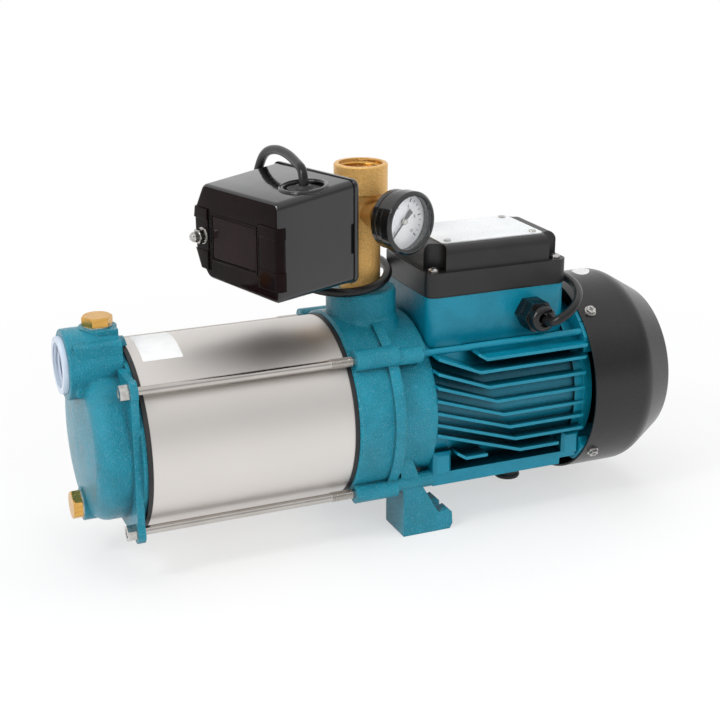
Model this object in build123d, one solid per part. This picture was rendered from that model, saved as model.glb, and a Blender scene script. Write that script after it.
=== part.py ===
from build123d import *
from math import cos, pi, radians, sin, sqrt, tan
import os

os.makedirs("parts", exist_ok=True)

# Horizontal multistage pump set: stainless pump shell between two castings, finned motor,
# brass five-way fitting, pressure switch and pressure gauge. Millimetres, +Z up.
# Everything is drawn about the shaft: x = 0 is the discharge tower, +X runs to the fan.
# The set is then placed with the centre of its foot slots at the origin, on the floor.

# Placing on the floor
shaft_height = 88.0
foot_slot_x = 40.0

# General fits
fit_clearance = 0.1
running_clearance = 0.3
bearing_clearance = 0.05

# Pump shell and its seals
shell_radius = 64.8
shell_wall = 1.5
shell_length = 140.5
front_seal_width = 3.0
rear_seal_width = 3.0
seal_proud = 0.6

# Tie rods through the suction cover into the discharge bracket
rod_radius = 3.0
rod_gap = 2.55
rod_angle = 43.458
rod_nut_recess = 0.4
rod_grip = 18.0
rod_hole_clearance = 0.4
rod_nut_across = 10.0
rod_nut_height = 6.2

# Suction cover
cover_ring_inset = 1.8
cover_ring_width = 2.5
cover_flange_thickness = 5.0
cover_ear_width = 6.5
cover_ear_height = 7.2
cover_ear_radius = 7.0
cover_ear_rim = 2.0
cover_spigot_length = 10.0
cover_spigot_wall = 4.0
dome_inset = 9.3
dome_depth = 21.0
dome_crown = 4.0
dome_wall = 5.0
dome_edge = 12.0
suction_z = 55.0
suction_boss_radius = 23.8
suction_boss_length = 30.3
suction_boss_edge = 1.2
suction_block_setback = 3.6
suction_block_half_width = 22.0
suction_block_bottom = 38.0
suction_block_top = 73.8
suction_block_edge = 3.0
hood_radius = 14.5
hood_reach = 6.0
hood_gap = 1.2
suction_passage_radius = 13.5
pipe_thread_radius = 15.15
insert_radius = 19.1
insert_proud = 3.3
insert_length = 18.0

# Quarter-inch plugs of the suction cover
plug_across = 18.0
plug_head = 6.2
plug_thread_radius = 6.5
plug_thread_length = 9.0
plug_washer_radius = 9.6
plug_washer_height = 1.0
priming_setback = 5.8
priming_boss_radius = 12.5
priming_boss_top = 79.0
priming_boss_root = 62.0
drain_z = -46.0
drain_boss_radius = 11.5
drain_boss_length = 3.2
gusset_height = 16.0
gusset_thickness = 4.0

# Pump stages
stage_count = 5
stage_pitch = 24.0
stage_wall = 1.6
stage_eye_radius = 19.0
guide_radius = 50.0
guide_hole_radius = 11.0
guide_offset = 14.5
guide_rib_count = 6
impeller_radius = 47.0
impeller_hub_radius = 10.0
impeller_width = 9.0
impeller_plate = 1.5
impeller_eye_radius = 15.0
impeller_vane_count = 6
impeller_vane_width = 1.8
vane_sweep = 55.0

# Shaft and its bearings
pump_shaft_radius = 7.0
motor_shaft_radius = 8.5
fan_shaft_radius = 6.5
shaft_nut_across = 17.0
shaft_nut_height = 6.0
shaft_tail = 2.0
front_bearing_radius = 20.0
front_bearing_width = 12.0
rear_bearing_radius = 20.0
rear_bearing_width = 12.0
bearing_race = 3.0

# Shaft seal
seal_seat_radius = 14.0
seal_seat_width = 6.0
seal_ring_radius = 12.5
seal_ring_width = 14.0

# Discharge bracket
bracket_front = -28.0
bracket_ring_proud = 2.7
bracket_ring_end = 6.0
bracket_chamber_wall = 5.0
bracket_wall_front = -4.0
bracket_wall_thickness = 10.0
bracket_flange_proud = 5.1
bracket_flange_end = 32.0
bracket_hub_radius = 26.0
bracket_flange_wall = 7.1
rib_start = -3.0
rib_width = 7.5
rib_proud = 2.3
boss_radius = 6.0
rod_boss_radius = 7.2
rod_boss_setback = 1.0
bolt_boss_end = 23.0
tower_radius = 24.7
tower_top = 85.0
tower_edge = 3.0
tower_bore_depth = 26.0
tower_foot_radius = 31.0
tower_foot_bottom = 52.0
tower_foot_top = 67.0
outlet_slot_width = 24.0

# Feet
leg_inner = 24.0
leg_outer = 55.0
foot_front = 10.0
foot_length = 38.0
foot_thickness = 14.0
leg_top_z = -17.0
slot_width = 11.0
slot_start = 34.0

# Motor
housing_radius = 57.0
housing_wall = 3.0
fin_reach = 62.0
fin_thickness = 2.2
fin_count = 7
fin_top_z = 31.0
fin_pitch = 12.3
fin_pitch_change = 0.29
fin_start_rise = 13.9
fin_start_step = 1.2
fin_knee_reach = 32.5
fin_knee_step = 7.4
fin_knee_change = 0.3
fin_root_y = 38.0
low_fin_cut = 20.0
top_fin_start = 30.5
top_fin_z = 40.0
stub_fin_start = 16.0
stub_fin_length = 24.0
stub_fin_z = -32.0
short_fin_rise = 4.5
short_fin_run = 7.0
rail_bottom = -52.2
rail_top = -42.6
rail_outer_y = 55.5
rail_inner_y = 34.0
rail_rear_cut = 15.0
rail_step_cut = 3.0
bolt_y = 51.0
bolt_z = 47.0
bolt_radius = 2.4
bolt_grip = 13.0
lug_top_z = -27.0
lug_outer_y = 57.5
lug_inner_y = 30.0
lug_length = 14.0
lug_bevel = 2.5
end_collar_proud = 2.5
end_collar_length = 7.0

# Rubber foot under the motor
support_inset = 27.5
support_length = 22.0
support_half_width = 12.0
support_bottom = -85.5
support_edge = 2.0
support_stub_radius = 7.0
support_stub_bottom = -74.0

# Stator and rotor
stator_front_margin = 30.0
stator_rear_margin = 28.0
air_gap = 0.35
rotor_radius = 31.0
winding_gap = 5.0
winding_bore = 36.0
winding_length = 17.0

# Rear end shield, fan and fan cover
shield_plate = 7.0
shield_spigot = 6.0
shield_hub_radius = 25.0
shield_hub_reach = 8.0
cover_rim_gap = 2.5
cover_radius = 73.7
cover_wall = 1.3
cover_barrel_length = 45.5
cover_taper_length = 27.7
cover_end_radius = 57.0
cover_crease_edge = 18.0
cover_end_edge = 3.0
cover_tab_inset = 8.7
cover_tab_width = 12.0
cover_tab_root = 54.0
cover_screw_turn = 37.3
cover_screw_radius = 2.0
cover_screw_head = 4.3
cover_screw_washer = 1.0
cover_screw_across = 6.2
cover_screw_height = 3.2
cover_screw_length = 8.0
recess_length = 3.8
recess_width = 0.9
recess_depth = 1.1
grille_ring_count = 4
grille_slot = 4.0
grille_first_radius = 14.0
grille_pitch = 9.0
grille_spoke = 6.0
fan_gap = 14.0
fan_hub_radius = 14.0
fan_hub_length = 18.0
fan_radius = 60.0
fan_plate = 2.5
fan_blade_count = 7
fan_blade = 2.5
fan_blade_width = 16.0

# Terminal box
box_length = 109.0
box_front_margin = 3.0
box_rear_margin = 6.0
box_half_width = 38.0
box_bottom = 49.0
box_top = 80.8
box_wall = 3.0
box_corner = 7.0
box_wire_hole = 6.0
wire_hole_inset = 12.0
gasket_thickness = 0.8
lid_skirt_height = 17.0
lid_height = 34.7
lid_overhang = 0.6
lid_step = 4.0
lid_wall = 2.5
lid_edge = 6.5
lid_corner = 9.0
lid_screw_inset = 6.5
lid_notch_radius = 8.5
lid_screw_radius = 2.0
lid_screw_head = 3.8
lid_screw_head_height = 2.6
lid_post_radius = 4.5
plate_length = 80.0
plate_width = 56.0
plate_thickness = 0.8
plate_screw_x = 67.5
plate_screw_y = 46.0
plate_screw_radius = 1.5
plate_screw_head = 2.6
capacitor_radius = 15.0
capacitor_gap = 2.0
terminal_block_gap = 2.0
terminal_block_length = 21.0
terminal_block_width = 40.0
terminal_block_height = 14.0

# Cable gland and lead
gland_x = 114.5
gland_z = 63.0
gland_thread_radius = 7.6
gland_across = 20.5
gland_hex_length = 6.0
gland_nut_length = 18.0
gland_dome_radius = 9.6
gland_dome_edge = 4.0
gland_mouth_radius = 5.2
gland_mouth_depth = 3.5
gland_grip_share = 0.55
gland_groove_count = 4
gland_groove_pitch = 2.1
gland_groove_width = 0.9
gland_groove_depth = 0.6
lead_radius = 3.15
lead_exit_run = 6.5
lead_entry_run = 9.5

# Brass five-way fitting
fitting_turn = 18.6
fitting_thread_length = 15.0
fitting_foot_radius = 14.6
fitting_foot_height = 3.0
fitting_body_radius = 13.75
fitting_bore = 10.5
port_radius = 18.6
port_neck_z = 146.0
port_flare = 3.0
port_bottom = 152.0
port_top = 172.4
port_thread_depth = 17.0
branch_z = 138.0
branch_start = 27.0
branch_end = 45.0
small_boss_radius = 9.5
gauge_boss_end = 20.0
switch_boss_end = 24.0

# Pressure gauge
gauge_z = 139.0
gauge_stem_radius = 6.3
gauge_stem_square = 14.0
gauge_square_length = 10.0
gauge_case_radius = 20.4
gauge_case_wall = 1.0
gauge_case_depth = 17.0
gauge_groove_place = 6.5
gauge_groove_width = 0.9
gauge_groove_depth = 0.5
bezel_wall = 1.2
bezel_overlap = 4.0
bezel_proud = 5.0
bezel_lip = 2.2
lens_thickness = 1.5
dial_depth = 5.0
dial_thickness = 0.6
needle_length = 15.0
needle_tail = 9.0
needle_tail_width = 1.7
needle_width = 1.2
needle_thickness = 0.6
needle_angle = 225.0
bourdon_radius = 12.0
bourdon_tube_radius = 2.0
bourdon_sweep = 250.0

# Pressure switch
switch_z = 135.0
connector_across = 17.0
connector_hex_length = 5.0
connector_thread_length = 8.0
diaphragm_radius = 25.0
tray_back = 36.0
tray_depth = 10.0
seam_depth = 5.0
seam_clearance = 0.7
seam_notch_bottom = 123.8
seam_notch_top = 143.5
seam_notch_depth = 1.2
seam_notch_length = 2.6
tray_lip = 0.8
tray_wall = 2.5
tray_edge = 3.5
cap_right = 39.9
cap_left = -42.0
cap_cheek = -49.8
cap_bottom = 103.0
cap_top = 171.8
cap_cheek_bottom = 122.0
cap_cheek_top = 148.0
cap_depth = 57.7
cap_front_inset = 1.4
cap_front_bottom = 102.3
cap_front_top = 166.0
cap_wall = 2.4
cap_corner = 5.0
cap_front_edge = 2.2
window_left = -31.5
window_right = 15.8
window_bottom = 116.8
window_top = 146.4
window_depth = 1.4
band_bottom = 108.5
band_top = 150.0
band_depth = 4.5
band_proud = 1.3
band_middle_bottom = 121.4
band_middle_top = 142.6
band_middle_drop = 0.7
groove_left = -34.2
groove_right = 19.2
groove_width = 2.2
groove_depth = 1.2
entry_setback = 23.0
entry_b = 22.5
entry_radius = 16.5
entry_height = 3.0
entry_hole = 9.0
entry_well_radius = 13.2
entry_well_depth = 5.0
grommet_flange = 11.0
grommet_flange_height = 1.2
grommet_sink = 2.0
grommet_neck = 3.0
acorn_b = -41.0
acorn_z = 131.0
acorn_radius = 5.0
acorn_length = 11.0
stud_radius = 2.5
spring_b = 8.0
spring_radius = 6.5
spring_wire = 1.3
spring_turns = 5
spring_length = 26.0
lever_pivot_b = 30.0
lever_end_b = -20.0
lever_width = 18.0
lever_thickness = 2.0
plunger_radius = 4.0
plunger_tip_radius = 0.6
block_half_width = 20.0
block_height = 14.0
block_depth = 20.0

# Lead from the gland round the motor and the fitting to the switch. Points chosen by hand.
lead_points = [
    (119, -73.5, 66.5),
    (130, -72.5, 72.5),
    (141.5, -61, 77),
    (149, -45, 80),
    (151.5, -27, 81),
    (151.5, -5, 80),
    (151.5, 18, 78),
    (147.5, 38, 76.5),
    (133, 50.5, 76),
    (106, 52, 76),
    (76, 51, 77),
    (50, 50, 80),
    (34, 43, 86),
    (25, 31, 93),
    (21, 17, 98),
    (20, 3, 98),
    (17.5, -9, 95.5),
    (10, -18, 92),
    (-1, -23.5, 89.8),
    (-15, -26.5, 88.8),
    (-29, -22.5, 88.8),
    (-42, -8, 90),
    (-53, 11, 94),
    (-59.2, 25.4, 97),
    (-62.6, 37.0, 108.5),
    (-63.4, 40.9, 127),
    (-63.2, 40.5, 150),
    (-61.6, 34.1, 169),
    (-60.6, 23.4, 180.5),
    (-58.2, 6.8, 185),
    (-56.7, -11.7, 184.5),
    (-57.3, -28.8, 182),
]

# Worked-out sizes of the pump end
seal_radius = shell_radius + seal_proud
rod_circle = seal_radius + rod_gap + rod_radius
rod_y = rod_circle * cos(radians(rod_angle))
rod_z = rod_circle * sin(radians(rod_angle))
cover_ring_radius = shell_radius - cover_ring_inset
cover_flange_half_width = rod_y + cover_ear_width
cover_flange_half_height = rod_z + cover_ear_height
dome_radius = shell_radius - dome_inset
bracket_ring_radius = shell_radius + bracket_ring_proud
rib_radius = bracket_ring_radius + rib_proud
bracket_flange_radius = housing_radius + bracket_flange_proud
bracket_hollow_radius = bracket_flange_radius - bracket_flange_wall

# Worked-out sizes of the motor, gauge and switch
housing_length = box_front_margin + box_length + box_rear_margin
housing_bore = housing_radius - housing_wall
winding_radius = housing_bore - winding_gap
gauge_case_back = gauge_boss_end + gauge_square_length
bezel_radius = gauge_case_radius + bezel_wall
bezel_opening = gauge_case_radius - bezel_lip
bezel_back = gauge_case_back + gauge_case_depth - bezel_overlap
bezel_front = gauge_case_back + gauge_case_depth + bezel_proud
tray_front = tray_back + tray_depth
cap_front = tray_front + cap_depth
entry_a = tray_front + entry_setback
seam_a = tray_back + seam_depth

# Worked-out places along the shaft
shell_rear = bracket_front - rear_seal_width
shell_front = shell_rear - shell_length
cover_seat = shell_front - front_seal_width
cover_ring_front = cover_seat - cover_ring_width
cover_flange_front = cover_ring_front - cover_flange_thickness
dome_face = cover_flange_front - dome_depth
priming_x = cover_flange_front - priming_setback
rod_boss_front = bracket_front + rod_boss_setback
suction_block_front = cover_flange_front - suction_boss_length + suction_block_setback
shell_bore = shell_radius - shell_wall
spigot_radius = shell_bore - running_clearance
stage_front = cover_seat + cover_spigot_length
stage_rear = stage_front + stage_count * stage_pitch
housing_front = bracket_flange_end
housing_rear = housing_front + housing_length
stator_front = housing_front + stator_front_margin
stator_rear = housing_rear - stator_rear_margin
shield_rear = housing_rear + shield_plate
shield_hub_end = housing_rear + shield_hub_reach
support_x = housing_rear - support_inset
cover_rim_x = housing_rear + cover_rim_gap
cover_tab_x = cover_rim_x + cover_tab_inset
cover_crease_x = cover_rim_x + cover_barrel_length
cover_end_x = cover_crease_x + cover_taper_length
fan_x = shield_hub_end + fan_gap
front_bearing_x = bracket_flange_end - front_bearing_width
rear_bearing_x = shield_hub_end - rear_bearing_width
shaft_front = stage_front - shaft_nut_height - shaft_tail
shaft_rear = fan_x + fan_hub_length + shaft_tail
box_start = housing_front + box_front_margin
box_end = box_start + box_length
wire_hole_x = box_start + wire_hole_inset
lid_base = box_top + gasket_thickness
lid_ledge = lid_base + lid_skirt_height
lid_top = lid_base + lid_height


# Shapes that several sub-parts use

def turned(points):
    """Solid turned about the shaft from an outline of (x, radius) points."""
    outline = Polyline([(x, 0, radius) for x, radius in points], close=True)
    return revolve(make_face(outline), Axis.X)


def turned_up(points):
    """Solid turned about the vertical from an outline of (radius, z) points."""
    outline = Polyline([(radius, 0, z) for radius, z in points], close=True)
    return revolve(make_face(outline), Axis.Z)


def x_rod(radius, start, end, y=0.0, z=0.0):
    """Round bar parallel to the shaft."""
    return Pos((start + end) / 2, y, z) * Rot(0, 90, 0) * Cylinder(radius, end - start)


def z_rod(radius, bottom, top, x=0.0, y=0.0):
    """Round bar standing upright."""
    return Pos(x, y, (bottom + top) / 2) * Cylinder(radius, top - bottom)


def block(x_range, y_range, z_range):
    """Rectangular block between three pairs of limits."""
    (x0, x1), (y0, y1), (z0, z1) = x_range, y_range, z_range
    return Pos((x0 + x1) / 2, (y0 + y1) / 2, (z0 + z1) / 2) * Box(x1 - x0, y1 - y0, z1 - z0)


def hexagon(across, height):
    """Upright hexagonal prism that starts at z = 0."""
    return extrude(RegularPolygon(across / 2, 6, major_radius=False), height)


def rims(shape, radius):
    """Circular edges of one radius, in order along the shaft."""
    circles = shape.edges().filter_by(GeomType.CIRCLE)
    return circles.filter_by(lambda edge: abs(edge.radius - radius) < 0.01).sort_by(Axis.X)


def cross_recess(top):
    """Cross-shaped driver recess that opens at a height."""
    depth = (-recess_width / 2, recess_width / 2)
    reach = (-recess_length / 2, recess_length / 2)
    height = (top - recess_depth, top)
    return block(depth, reach, height) + block(reach, depth, height)


def corners(y, z):
    """The four signed corners of a bolt pattern."""
    return [(side_y * y, side_z * z) for side_y in (-1, 1) for side_z in (-1, 1)]


def rounded_block(length, width, bottom, top, corner, centre_x=0.0):
    """Upright block with rounded vertical corners."""
    outline = RectangleRounded(length, width, corner)
    return Pos(centre_x, 0, bottom) * extrude(outline, top - bottom)


def direction(turn):
    """Level direction at an angle from +X, in degrees."""
    return (cos(radians(turn)), sin(radians(turn)), 0)


def port_frame(turn, height):
    """Frame whose z axis runs out along a level port of the fitting, with y up."""
    out = direction(turn)
    level = (-out[1], out[0], 0)
    return Plane(origin=(0, 0, height), x_dir=level, z_dir=out).location


switch_turn = 180.0 + fitting_turn
gauge_turn = fitting_turn - 90.0
branch_turn = fitting_turn + 90.0
switch_frame = port_frame(switch_turn, switch_z)
gauge_frame = port_frame(gauge_turn, gauge_z)
branch_frame = port_frame(branch_turn, branch_z)


# Pump end

def make_suction_cover():
    """Cast cover with a crowned dome, suction port, two plug bosses and a spigot."""
    crown_x = dome_face - dome_crown
    crown_sphere = (dome_radius ** 2 + dome_crown ** 2) / (2 * dome_crown)
    half = dome_radius / 2
    middle = (crown_x + crown_sphere - sqrt(crown_sphere ** 2 - half ** 2), 0, half)
    rim = (dome_face, 0, dome_radius)
    sides = Polyline(
        rim,
        (cover_ring_front, 0, dome_radius),
        (cover_ring_front, 0, 0),
        (crown_x, 0, 0),
    )
    dome = revolve(make_face(sides + ThreePointArc((crown_x, 0, 0), middle, rim)), Axis.X)
    dome = fillet(rims(dome, dome_radius)[0], dome_edge)
    flange = RectangleRounded(
        2 * cover_flange_half_height, 2 * cover_flange_half_width, cover_ear_radius)
    flange = Pos(cover_flange_front, 0, 0) * Rot(0, 90, 0) * extrude(flange, cover_flange_thickness)
    ears = [x_rod(boss_radius + cover_ear_rim, cover_flange_front, cover_ring_front, y, z)
            for y, z in corners(rod_y, rod_z)]
    ring = x_rod(cover_ring_radius, cover_ring_front, cover_seat)
    spigot = x_rod(spigot_radius, cover_seat, stage_front)
    boss_front = dome_face - drain_boss_length
    port_front = cover_flange_front - suction_boss_length
    port = x_rod(suction_boss_radius, port_front, cover_ring_front, z=suction_z)
    port = fillet(port.edges().sort_by(Axis.X)[0], suction_boss_edge)
    hood = x_rod(hood_radius, cover_ring_front, cover_ring_front + hood_reach, z=suction_z)
    hood -= x_rod(seal_radius + hood_gap, cover_ring_front, cover_ring_front + hood_reach)
    housing = make_suction_block()
    priming_boss = z_rod(priming_boss_radius, priming_boss_root, priming_boss_top, priming_x)
    priming_boss += block(
        (priming_x, cover_ring_front), (-priming_boss_radius, priming_boss_radius),
        (priming_boss_root, priming_boss_top))
    drain_boss = x_rod(drain_boss_radius, boss_front, cover_flange_front, z=drain_z)
    gusset_top = drain_z + drain_boss_radius + gusset_height
    gusset_foot = drain_z + drain_boss_radius
    gusset = make_face(Polyline(
        (dome_face + dome_wall / 2, 0, gusset_top),
        (boss_front, 0, gusset_foot - 1),
        (dome_face + dome_wall / 2, 0, gusset_foot - 1),
        close=True))
    gusset = extrude(gusset, gusset_thickness / 2, both=True)
    cover = dome + flange + ring + spigot + housing + port + hood + priming_boss + drain_boss + gusset
    for ear in ears:
        cover += ear
    cavity = x_rod(dome_radius - dome_wall, dome_face + dome_wall, cover_seat)
    cavity = fillet(rims(cavity, dome_radius - dome_wall)[0], dome_edge - dome_wall)
    cavity += x_rod(spigot_radius - cover_spigot_wall, cover_seat, stage_front)
    cover -= cavity
    insert_end = port_front - insert_proud + insert_length
    cover -= x_rod(insert_radius + fit_clearance, port_front, insert_end, z=suction_z)
    cover -= x_rod(suction_passage_radius, insert_end, cover_flange_front, z=suction_z)
    hole = plug_thread_radius + fit_clearance
    cover -= z_rod(hole, suction_z, priming_boss_top, priming_x)
    cover -= x_rod(hole, boss_front, boss_front + plug_thread_length + 1, z=drain_z)
    for y, z in corners(rod_y, rod_z):
        cover -= x_rod(rod_radius + rod_hole_clearance, cover_flange_front, cover_ring_front, y, z)
    return cover


def make_suction_block():
    """Squared part of the cover round the suction passage."""
    body = block(
        (suction_block_front, cover_ring_front),
        (-suction_block_half_width, suction_block_half_width),
        (suction_block_bottom, suction_block_top))
    long_edges = body.edges().filter_by(Axis.X).sort_by(Axis.Z)[-2:]
    body = fillet(long_edges, suction_block_edge)
    return fillet(body.faces().sort_by(Axis.X)[0].edges(), suction_block_edge * 0.8)


def make_suction_port_insert():
    """Threaded plastic bush in the suction port."""
    front = cover_flange_front - suction_boss_length - insert_proud
    bush = x_rod(insert_radius, front, front + insert_length, z=suction_z)
    return bush - x_rod(pipe_thread_radius, front, front + insert_length, z=suction_z)


def make_plug():
    """Hexagon-head plug standing on its washer at z = 0."""
    head = Pos(0, 0, plug_washer_height) * hexagon(plug_across, plug_head)
    top = plug_washer_height + plug_head
    bevel_radius = plug_across / 2 / cos(pi / 6)
    bevel_drop = (bevel_radius - plug_across / 2) * 0.6
    head &= turned_up([
        (0, 0), (bevel_radius, 0), (bevel_radius, top - bevel_drop), (plug_across / 2, top), (0, top)])
    return head + z_rod(plug_thread_radius, -plug_thread_length, plug_washer_height)


def make_washer():
    """Flat sealing washer under a plug."""
    ring = z_rod(plug_washer_radius, 0, plug_washer_height)
    return ring - z_rod(plug_thread_radius + fit_clearance, 0, plug_washer_height)


priming_place = Pos(priming_x, 0, priming_boss_top)
drain_place = Pos(dome_face - drain_boss_length, 0, drain_z) * Rot(0, -90, 0)


def make_pump_shell():
    """Rolled stainless tube between the two castings."""
    return x_rod(shell_radius, shell_front, shell_rear) - x_rod(shell_bore, shell_front, shell_rear)


def make_shell_seals():
    """Square-section rubber ring at each end of the shell."""
    seals = []
    for start, end in ((cover_seat, shell_front), (shell_rear, bracket_front)):
        seals.append(x_rod(seal_radius, start, end) - x_rod(spigot_radius + fit_clearance, start, end))
    return seals


def make_tie_rods():
    """Four long rods that clamp the pump end together."""
    start = cover_flange_front - rod_nut_height + rod_nut_recess
    end = rod_boss_front + rod_grip
    return [x_rod(rod_radius, start, end, y, z) for y, z in corners(rod_y, rod_z)]


def make_tie_rod_nuts():
    """One nut on each rod, against the suction cover."""
    nut = hexagon(rod_nut_across, rod_nut_height) - z_rod(rod_radius + fit_clearance, 0, rod_nut_height)
    return [Pos(cover_flange_front, y, z) * Rot(0, -90, 0) * nut for y, z in corners(rod_y, rod_z)]


def make_stage(start):
    """Diffuser cup with a guide disc held on ribs."""
    radius = shell_bore - running_clearance
    inner = radius - stage_wall
    cup = turned([
        (start, stage_eye_radius), (start, radius), (start + stage_pitch, radius),
        (start + stage_pitch, inner), (start + stage_wall, inner),
        (start + stage_wall, stage_eye_radius)])
    guide_start = start + guide_offset
    guide = x_rod(guide_radius, guide_start, guide_start + stage_wall)
    guide -= x_rod(guide_hole_radius, guide_start, guide_start + stage_wall)
    rib_depth = stage_pitch - guide_offset - running_clearance
    middle = (guide_radius - stage_wall + inner + stage_wall / 2) / 2
    span = inner + stage_wall / 2 - (guide_radius - stage_wall)
    rib = Pos(guide_start + rib_depth / 2, 0, middle) * Box(rib_depth, stage_wall, span)
    for number in range(guide_rib_count):
        guide += Rot(360 * number / guide_rib_count, 0, 0) * rib
    return cup + guide


def make_impeller(start):
    """Closed impeller: hub, back plate, front plate with an eye, and swept vanes."""
    face = start + stage_wall + running_clearance + impeller_plate
    back = face + impeller_width - impeller_plate
    hub = x_rod(impeller_hub_radius, face, start + stage_pitch)
    plates = x_rod(impeller_radius, back, back + impeller_plate)
    front = x_rod(impeller_radius, face, face + impeller_plate)
    plates += front - x_rod(impeller_eye_radius, face, face + impeller_plate)
    eye = stage_eye_radius - running_clearance
    neck = x_rod(eye, start, face) - x_rod(impeller_eye_radius, start, face)
    root = impeller_eye_radius - impeller_vane_width / 2
    tip = impeller_radius - impeller_vane_width
    bend = radians(vane_sweep)
    path = ThreePointArc(
        (0, root), (tip * sin(bend / 3) * 0.62, tip * cos(bend / 3) * 0.62),
        (tip * sin(bend), tip * cos(bend)))
    vane = extrude(trace(path, impeller_vane_width), impeller_width)
    vane = Pos(face, 0, 0) * Rot(0, 90, 0) * vane
    wheel = hub + plates + neck
    for number in range(impeller_vane_count):
        wheel += Rot(360 * number / impeller_vane_count, 0, 0) * vane
    return wheel - x_rod(pump_shaft_radius + fit_clearance / 2, start, start + stage_pitch)


def stage_starts():
    """Front plane of each stage."""
    return [stage_front + number * stage_pitch for number in range(stage_count)]


def make_impeller_nut():
    """Nut that holds the impellers on the shaft."""
    hole = pump_shaft_radius + fit_clearance / 2
    nut = hexagon(shaft_nut_across, shaft_nut_height) - z_rod(hole, 0, shaft_nut_height)
    return Pos(stage_front, 0, 0) * Rot(0, -90, 0) * nut


def make_first_spacer():
    """Sleeve between the nut and the first impeller hub."""
    end = stage_front + stage_wall + running_clearance + impeller_plate
    sleeve = x_rod(impeller_hub_radius, stage_front, end)
    return sleeve - x_rod(pump_shaft_radius + fit_clearance / 2, stage_front, end)


def make_drive_shaft():
    """Stepped shaft from the impellers to the fan."""
    return turned([
        (shaft_front, 0), (shaft_front, pump_shaft_radius), (bracket_wall_front, pump_shaft_radius),
        (bracket_wall_front, motor_shaft_radius), (shield_hub_end, motor_shaft_radius),
        (shield_hub_end, fan_shaft_radius), (shaft_rear, fan_shaft_radius), (shaft_rear, 0)])


# Shaft seal

seat_front = bracket_wall_front - running_clearance


def make_seal_seat():
    """Stationary seal ring in the bracket wall."""
    end = bracket_wall_front + seal_seat_width
    ring = x_rod(seal_seat_radius, bracket_wall_front, end)
    return ring - x_rod(motor_shaft_radius + running_clearance, bracket_wall_front, end)


def make_seal_ring():
    """Spring-loaded seal ring that turns with the shaft."""
    start = seat_front - seal_ring_width
    ring = turned([
        (start, pump_shaft_radius + fit_clearance / 2), (start, seal_ring_radius),
        (seat_front - seal_ring_width / 4, seal_ring_radius), (seat_front, impeller_hub_radius),
        (seat_front, pump_shaft_radius + fit_clearance / 2)])
    return ring


# Discharge bracket

def make_leg(side):
    """Foot of the bracket on one side, with its open bolt slot."""
    toe = foot_front + foot_length
    outline = make_face(Polyline(
        (foot_front, 0, -shaft_height),
        (foot_front, 0, -shaft_height + foot_length * 0.75),
        (bracket_ring_end, 0, leg_top_z - 12),
        (foot_front, 0, leg_top_z),
        (foot_front + 8, 0, leg_top_z - 17),
        (foot_front + 15, 0, leg_top_z - 35),
        (foot_front + 24, 0, leg_top_z - 51),
        (toe - 10, 0, -shaft_height + foot_thickness),
        (toe - 3, 0, -shaft_height + foot_thickness + 2),
        (toe, 0, -shaft_height + foot_thickness - 1),
        (toe + 0.6, 0, -shaft_height + 4),
        (toe - 1.5, 0, -shaft_height),
        close=True))
    leg = Pos(0, side * (leg_inner + leg_outer) / 2, 0) * extrude(
        outline, (leg_outer - leg_inner) / 2, both=True)
    slot_y = side * (leg_inner + leg_outer) / 2
    slot_centre = slot_start + slot_width / 2
    slot_top = -shaft_height + foot_thickness * 2
    slot = z_rod(slot_width / 2, -shaft_height, slot_top, slot_centre, slot_y)
    slot += block(
        (slot_centre, toe + slot_width), (slot_y - slot_width / 2, slot_y + slot_width / 2),
        (-shaft_height, slot_top))
    return leg - slot


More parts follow.
